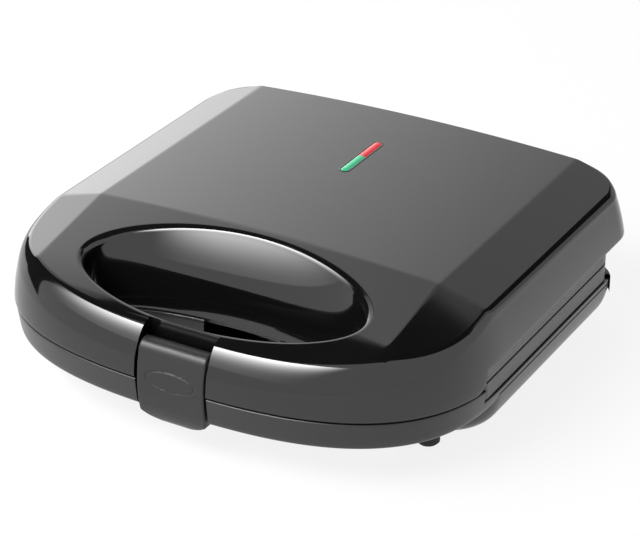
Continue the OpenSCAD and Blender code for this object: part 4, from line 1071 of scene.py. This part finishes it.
@dataclass
class Indicator:
    """The window in the lid's crown: a thin bezel round a green and a red ribbed lens."""

    centre_y: float = 52.4
    length: float = 36.6
    width: float = 5.8
    bezel: float = 0.7
    top_z: float = 73.3
    rise: float = 0.5
    dome: float = 3.3
    clearance: float = 0.1
    rib: float = 0.05
    rib_pitch: float = 1.2
    lens_foot: float = 2.8
    lens_parting: float = 0.05
    lens_droop: float = 0.5

    def stadium(self, r: float, half: float, steps: int = 17) -> tuple[np.ndarray, np.ndarray]:
        """A slot's outline with rounded ends, anticlockwise."""
        a = np.radians(np.concatenate([np.linspace(0, 180, steps), np.linspace(180, 360, steps)]))
        shift = np.repeat([half, -half], steps)
        return r * np.cos(a), self.centre_y + shift + r * np.sin(a)

    def build(self) -> None:
        """Builds the bezel and the two lenses."""
        r, half = self.width / 2, self.length / 2 - self.width / 2
        rows = []
        section = ((0, -1.2), (0, -0.12), (0.1, -0.03), (0.25, 0), (0.45, 0), (0.6, -0.04), (self.bezel, -0.2),
                   (self.bezel, -2.0))
        for inset, z in section:
            rows.append(row(*self.stadium(r - inset, half), self.top_z + z))
        patch = Patchwork()
        patch.grid(np.array(rows))
        dress(patch.make("window_frame"), Look.BEZEL, "bezel_black", "lid", "window_bezel")
        for name, finish, sign in (("green_lens", Look.GREEN, -1), ("red_lens", Look.RED, 1)):
            dress(self.lens(name, sign), finish, name, "lid", name)

    def lens(self, name: str, sign: int) -> bpy.types.Object:
        """One lens: part of a round bar with fine ribs across it, square in the middle and round at its end."""
        r, reach = (v / 2 - self.bezel - self.clearance for v in (self.width, self.length))
        tip = 0.02
        y = np.linspace(self.lens_parting, reach - tip, 150)
        half = np.where(y > reach - r, np.sqrt(np.maximum(tip, r * r - (y - reach + r) ** 2)), r)
        u = np.sin(angles(-90, 90, 19))
        gx, gy = u[None] * half[:, None], np.repeat(y[:, None], len(u), 1)
        ribs = self.rib * np.cos(gy * 2 * np.pi / self.rib_pitch) - 0.06
        ends = self.lens_droop * np.clip((gy - reach + r) / r, 0, 1) ** 2
        z = self.top_z + self.rise - (self.dome - np.sqrt(self.dome**2 - gx**2)) - ends + ribs
        patch = Patchwork()
        top = np.stack([gx, self.centre_y + sign * gy, z], -1)
        patch.grid(top, closed=False, flip=sign < 0)
        edge = border(top)
        low = row(edge[:, 0], edge[:, 1], self.top_z - self.lens_foot)
        patch.grid(np.stack([low, edge]), flip=sign < 0)
        return patch.make(name + "_ribbed", math.radians(70))


# ---------------------------------------------------------------- studio


@dataclass
class Studio:
    """Camera, floor, softboxes and the white surroundings."""

    azimuth: float = 29.874
    elevation: float = 28.041
    distance: float = 1.0398
    shift: tuple[float, float] = (0.013526, 0.010026)
    offset: tuple[float, float, float] = (0.0, -0.0134, 0.0335)
    lens: float = 129.61
    fill: float = 0.45
    floor_white: float = 0.85
    power: float = 4.0

    def camera(self) -> None:
        """Places the camera that the photograph was solved for."""
        a, e = math.radians(self.azimuth), math.radians(self.elevation)
        back = Vector((math.sin(a) * math.cos(e), -math.cos(a) * math.cos(e), math.sin(e)))
        right = Vector((math.cos(a), math.sin(a), 0))
        up = back.cross(right)
        data = bpy.data.cameras.new("camera")
        data.lens, data.sensor_width, data.clip_end = self.lens, 36, 20
        cam = bpy.data.objects.new("camera", data)
        where = back * self.distance + right * self.shift[0] + up * self.shift[1] + Vector(self.offset)
        turn = Matrix((right, up, back)).transposed().to_4x4()
        cam.matrix_world = Matrix.Translation(where) @ turn
        bpy.context.scene.collection.objects.link(cam)
        bpy.context.scene.camera = cam

    def seen(self, tree: bpy.types.NodeTree) -> bpy.types.NodeSocket:
        """1 for what is seen directly, in a mirror image or through glass, and 0 for the light itself."""
        rays = add_node(tree, "LightPath").outputs
        direct = calc(tree, "MAXIMUM", rays["Is Camera Ray"], rays["Is Glossy Ray"])
        return calc(tree, "MAXIMUM", direct, rays["Is Transmission Ray"])

    def world(self) -> None:
        """A white background for what is seen or mirrored, and a plain level of light for the rest."""
        world = bpy.data.worlds.new("world")
        bpy.context.scene.world = world
        world.use_nodes = True
        tree = world.node_tree
        level = add_node(tree, "MapRange", {"Value": self.seen(tree), "To Min": self.fill, "To Max": 1.0})
        feed(tree, tree.nodes["Background"], {"Color": (1, 1, 1, 1), "Strength": level.outputs["Result"]})

    def panel(self, name: str, corners: list[tuple[float, float, float]]) -> bpy.types.Object:
        """A flat four-sided stage object."""
        mesh = bpy.data.meshes.new(name)
        mesh.from_pydata(corners, [], [(0, 1, 2, 3)])
        obj = bpy.data.objects.new(name, mesh)
        bpy.context.scene.collection.objects.link(obj)
        return obj

    def level_panel(self, name: str, half: float, z: float) -> bpy.types.Object:
        """A level square panel at a height."""
        return self.panel(name, [(x * half, y * half, z) for x, y in ((-1, -1), (1, -1), (1, 1), (-1, 1))])

    def floor(self) -> None:
        """A pale floor that keeps the shadow."""
        obj = self.level_panel("floor", 6.0, -0.0002)
        mat = bpy.data.materials.new("floor_white")
        mat.use_nodes = True
        tree = mat.node_tree
        shader = tree.nodes["Principled BSDF"]
        feed(tree, shader, {"Base Color": (0.92, 0.92, 0.92, 1), "Roughness": 0.9})
        share = calc(tree, "MULTIPLY", self.seen(tree), self.floor_white)
        blend = add_node(tree, "MixShader", {0: share, 1: shader.outputs[0],
                                             2: add_node(tree, "Emission").outputs[0]})
        feed(tree, tree.nodes["Material Output"], {"Surface": blend.outputs[0]})
        obj.data.materials.append(mat)

    def flag(self, name: str, azimuths: tuple[float, float], elevations: tuple[float, float], distance: float,
             glow: float = 0.0) -> None:
        """A black or grey cloth that the gloss mirrors, out of the camera's sight.

        Args:
            name: its name.
            azimuths: from and to, degrees from the back towards the right.
            elevations: from and to, degrees above the table.
            distance: how far out it hangs.
            glow: its own radiance, 0 for black.
        """
        corners = []
        for a, e in ((0, 0), (1, 0), (1, 1), (0, 1)):
            az, el = math.radians(azimuths[a]), math.radians(elevations[e])
            corners.append((distance * math.sin(az), distance * math.cos(az), distance * math.tan(el)))
        self.blacken(self.panel(name, corners), glow)

    def blacken(self, obj: bpy.types.Object, glow: float = 0.0) -> None:
        """Gives a flag its cloth, black or with a grey glow of its own, and hides it from the camera."""
        name = f"flag_cloth_{round(100 * glow):02d}"
        mat = bpy.data.materials.get(name) or bpy.data.materials.new(name)
        mat.use_nodes = True
        feed(mat.node_tree, mat.node_tree.nodes["Principled BSDF"],
             {"Base Color": (0.01, 0.01, 0.01, 1), "Roughness": 1.0, "Emission Color": (1, 1, 1, 1),
              "Emission Strength": glow})
        obj.data.materials.append(mat)
        obj.visible_camera = False

    def softbox(self, name: str, azimuth: float, elevation: float, size: tuple[float, float],
                corners: tuple[float, float, float, float], distance: float = 1.6, fade: float = 0.0,
                bend: float = 1.0) -> None:
        """An area lamp aimed at the appliance, whose radiance changes evenly between its corners.

        Args:
            name: the lamp's name.
            azimuth: degrees from the back, towards the right.
            elevation: degrees above the table.
            size: width and height in metres.
            corners: radiance at the lower left, lower right, upper left and upper right, from the appliance.
            distance: from the appliance's middle.
            fade: share of the width over which either end fades out, 0 for none.
            bend: power of the height with which the radiance rises.
        """
        a, e = math.radians(azimuth), math.radians(elevation)
        where = Vector((math.sin(a) * math.cos(e), math.cos(a) * math.cos(e), math.sin(e))) * distance
        data = bpy.data.lights.new(name, "AREA")
        data.shape, data.size, data.size_y = "RECTANGLE", *size
        data.energy = self.power * size[0] * size[1]
        data.use_nodes = True
        tree = data.node_tree
        across, up = add_node(tree, "SeparateXYZ", {
            0: add_node(tree, "NewGeometry").outputs["Parametric"]}).outputs[:2]
        low, high = (add_node(tree, "MapRange", {"Value": across, "To Min": right, "To Max": left})
                     for left, right in (corners[:2], corners[2:]))
        level = add_node(tree, "MapRange", {"Value": calc(tree, "POWER", up, bend), "To Min": low.outputs[0],
                                            "To Max": high.outputs[0]}).outputs[0]
        if fade > 0:
            ends = add_node(tree, "MapRange", {"Value": calc(tree, "PINGPONG", across, 0.5), "From Max": fade},
                            interpolation_type="SMOOTHSTEP")
            level = calc(tree, "MULTIPLY", ends.outputs[0], level)
        feed(tree, tree.nodes["Emission"], {"Strength": level})
        obj = bpy.data.objects.new(name, data)
        obj.location = where
        obj.rotation_euler = where.to_track_quat("Z", "Y").to_euler()
        obj.visible_camera = False
        bpy.context.scene.collection.objects.link(obj)

    def build(self) -> None:
        """Builds the studio."""
        self.world()
        self.floor()
        self.softbox("back_left", -42.5, 29, size=(1.9, 1.95), corners=(3.0, 0.1, 0.6, 0.0), distance=1.9)
        self.softbox("front_left", -147, 37, size=(2.3, 1.15), corners=(0.5, 0.7, 19, 19), distance=1.7,
                     fade=0.42, bend=2.2)
        self.flag("left_flag", (-108, -62), (-1, 58), distance=2.1)
        self.flag("right_flag", (3, 24), (26, 60), distance=2.3)
        card_width, first, lowest, highest = 24, -85, -1, 62
        for k in range(5):
            left = first + card_width * k
            self.flag(f"back_card_{k}", (left, left + card_width), (lowest, highest), distance=2.6, glow=0.6)
        self.blacken(self.level_panel("ceiling_flag", half=1.0, z=1.75))


# ---------------------------------------------------------------- all together


def main() -> None:
    """Builds the camera, the dressed pieces and the studio."""
    logging.basicConfig(level=logging.INFO, format="%(message)s")
    scene = bpy.context.scene
    scene.view_settings.view_transform = "Standard"
    studio = Studio()
    studio.camera()
    Look.dress_nodes()
    form = Form()
    Lid(form).build()
    Base(form).build()
    Latch().build()
    plate = CookingPlate()
    plate.build("lower_plate", "base", 35.3, 1.0)
    plate.build("upper_plate", "lid", 35.7, -1.0)
    Indicator().build()
    studio.build()


if __name__ == "__main__":
    main()
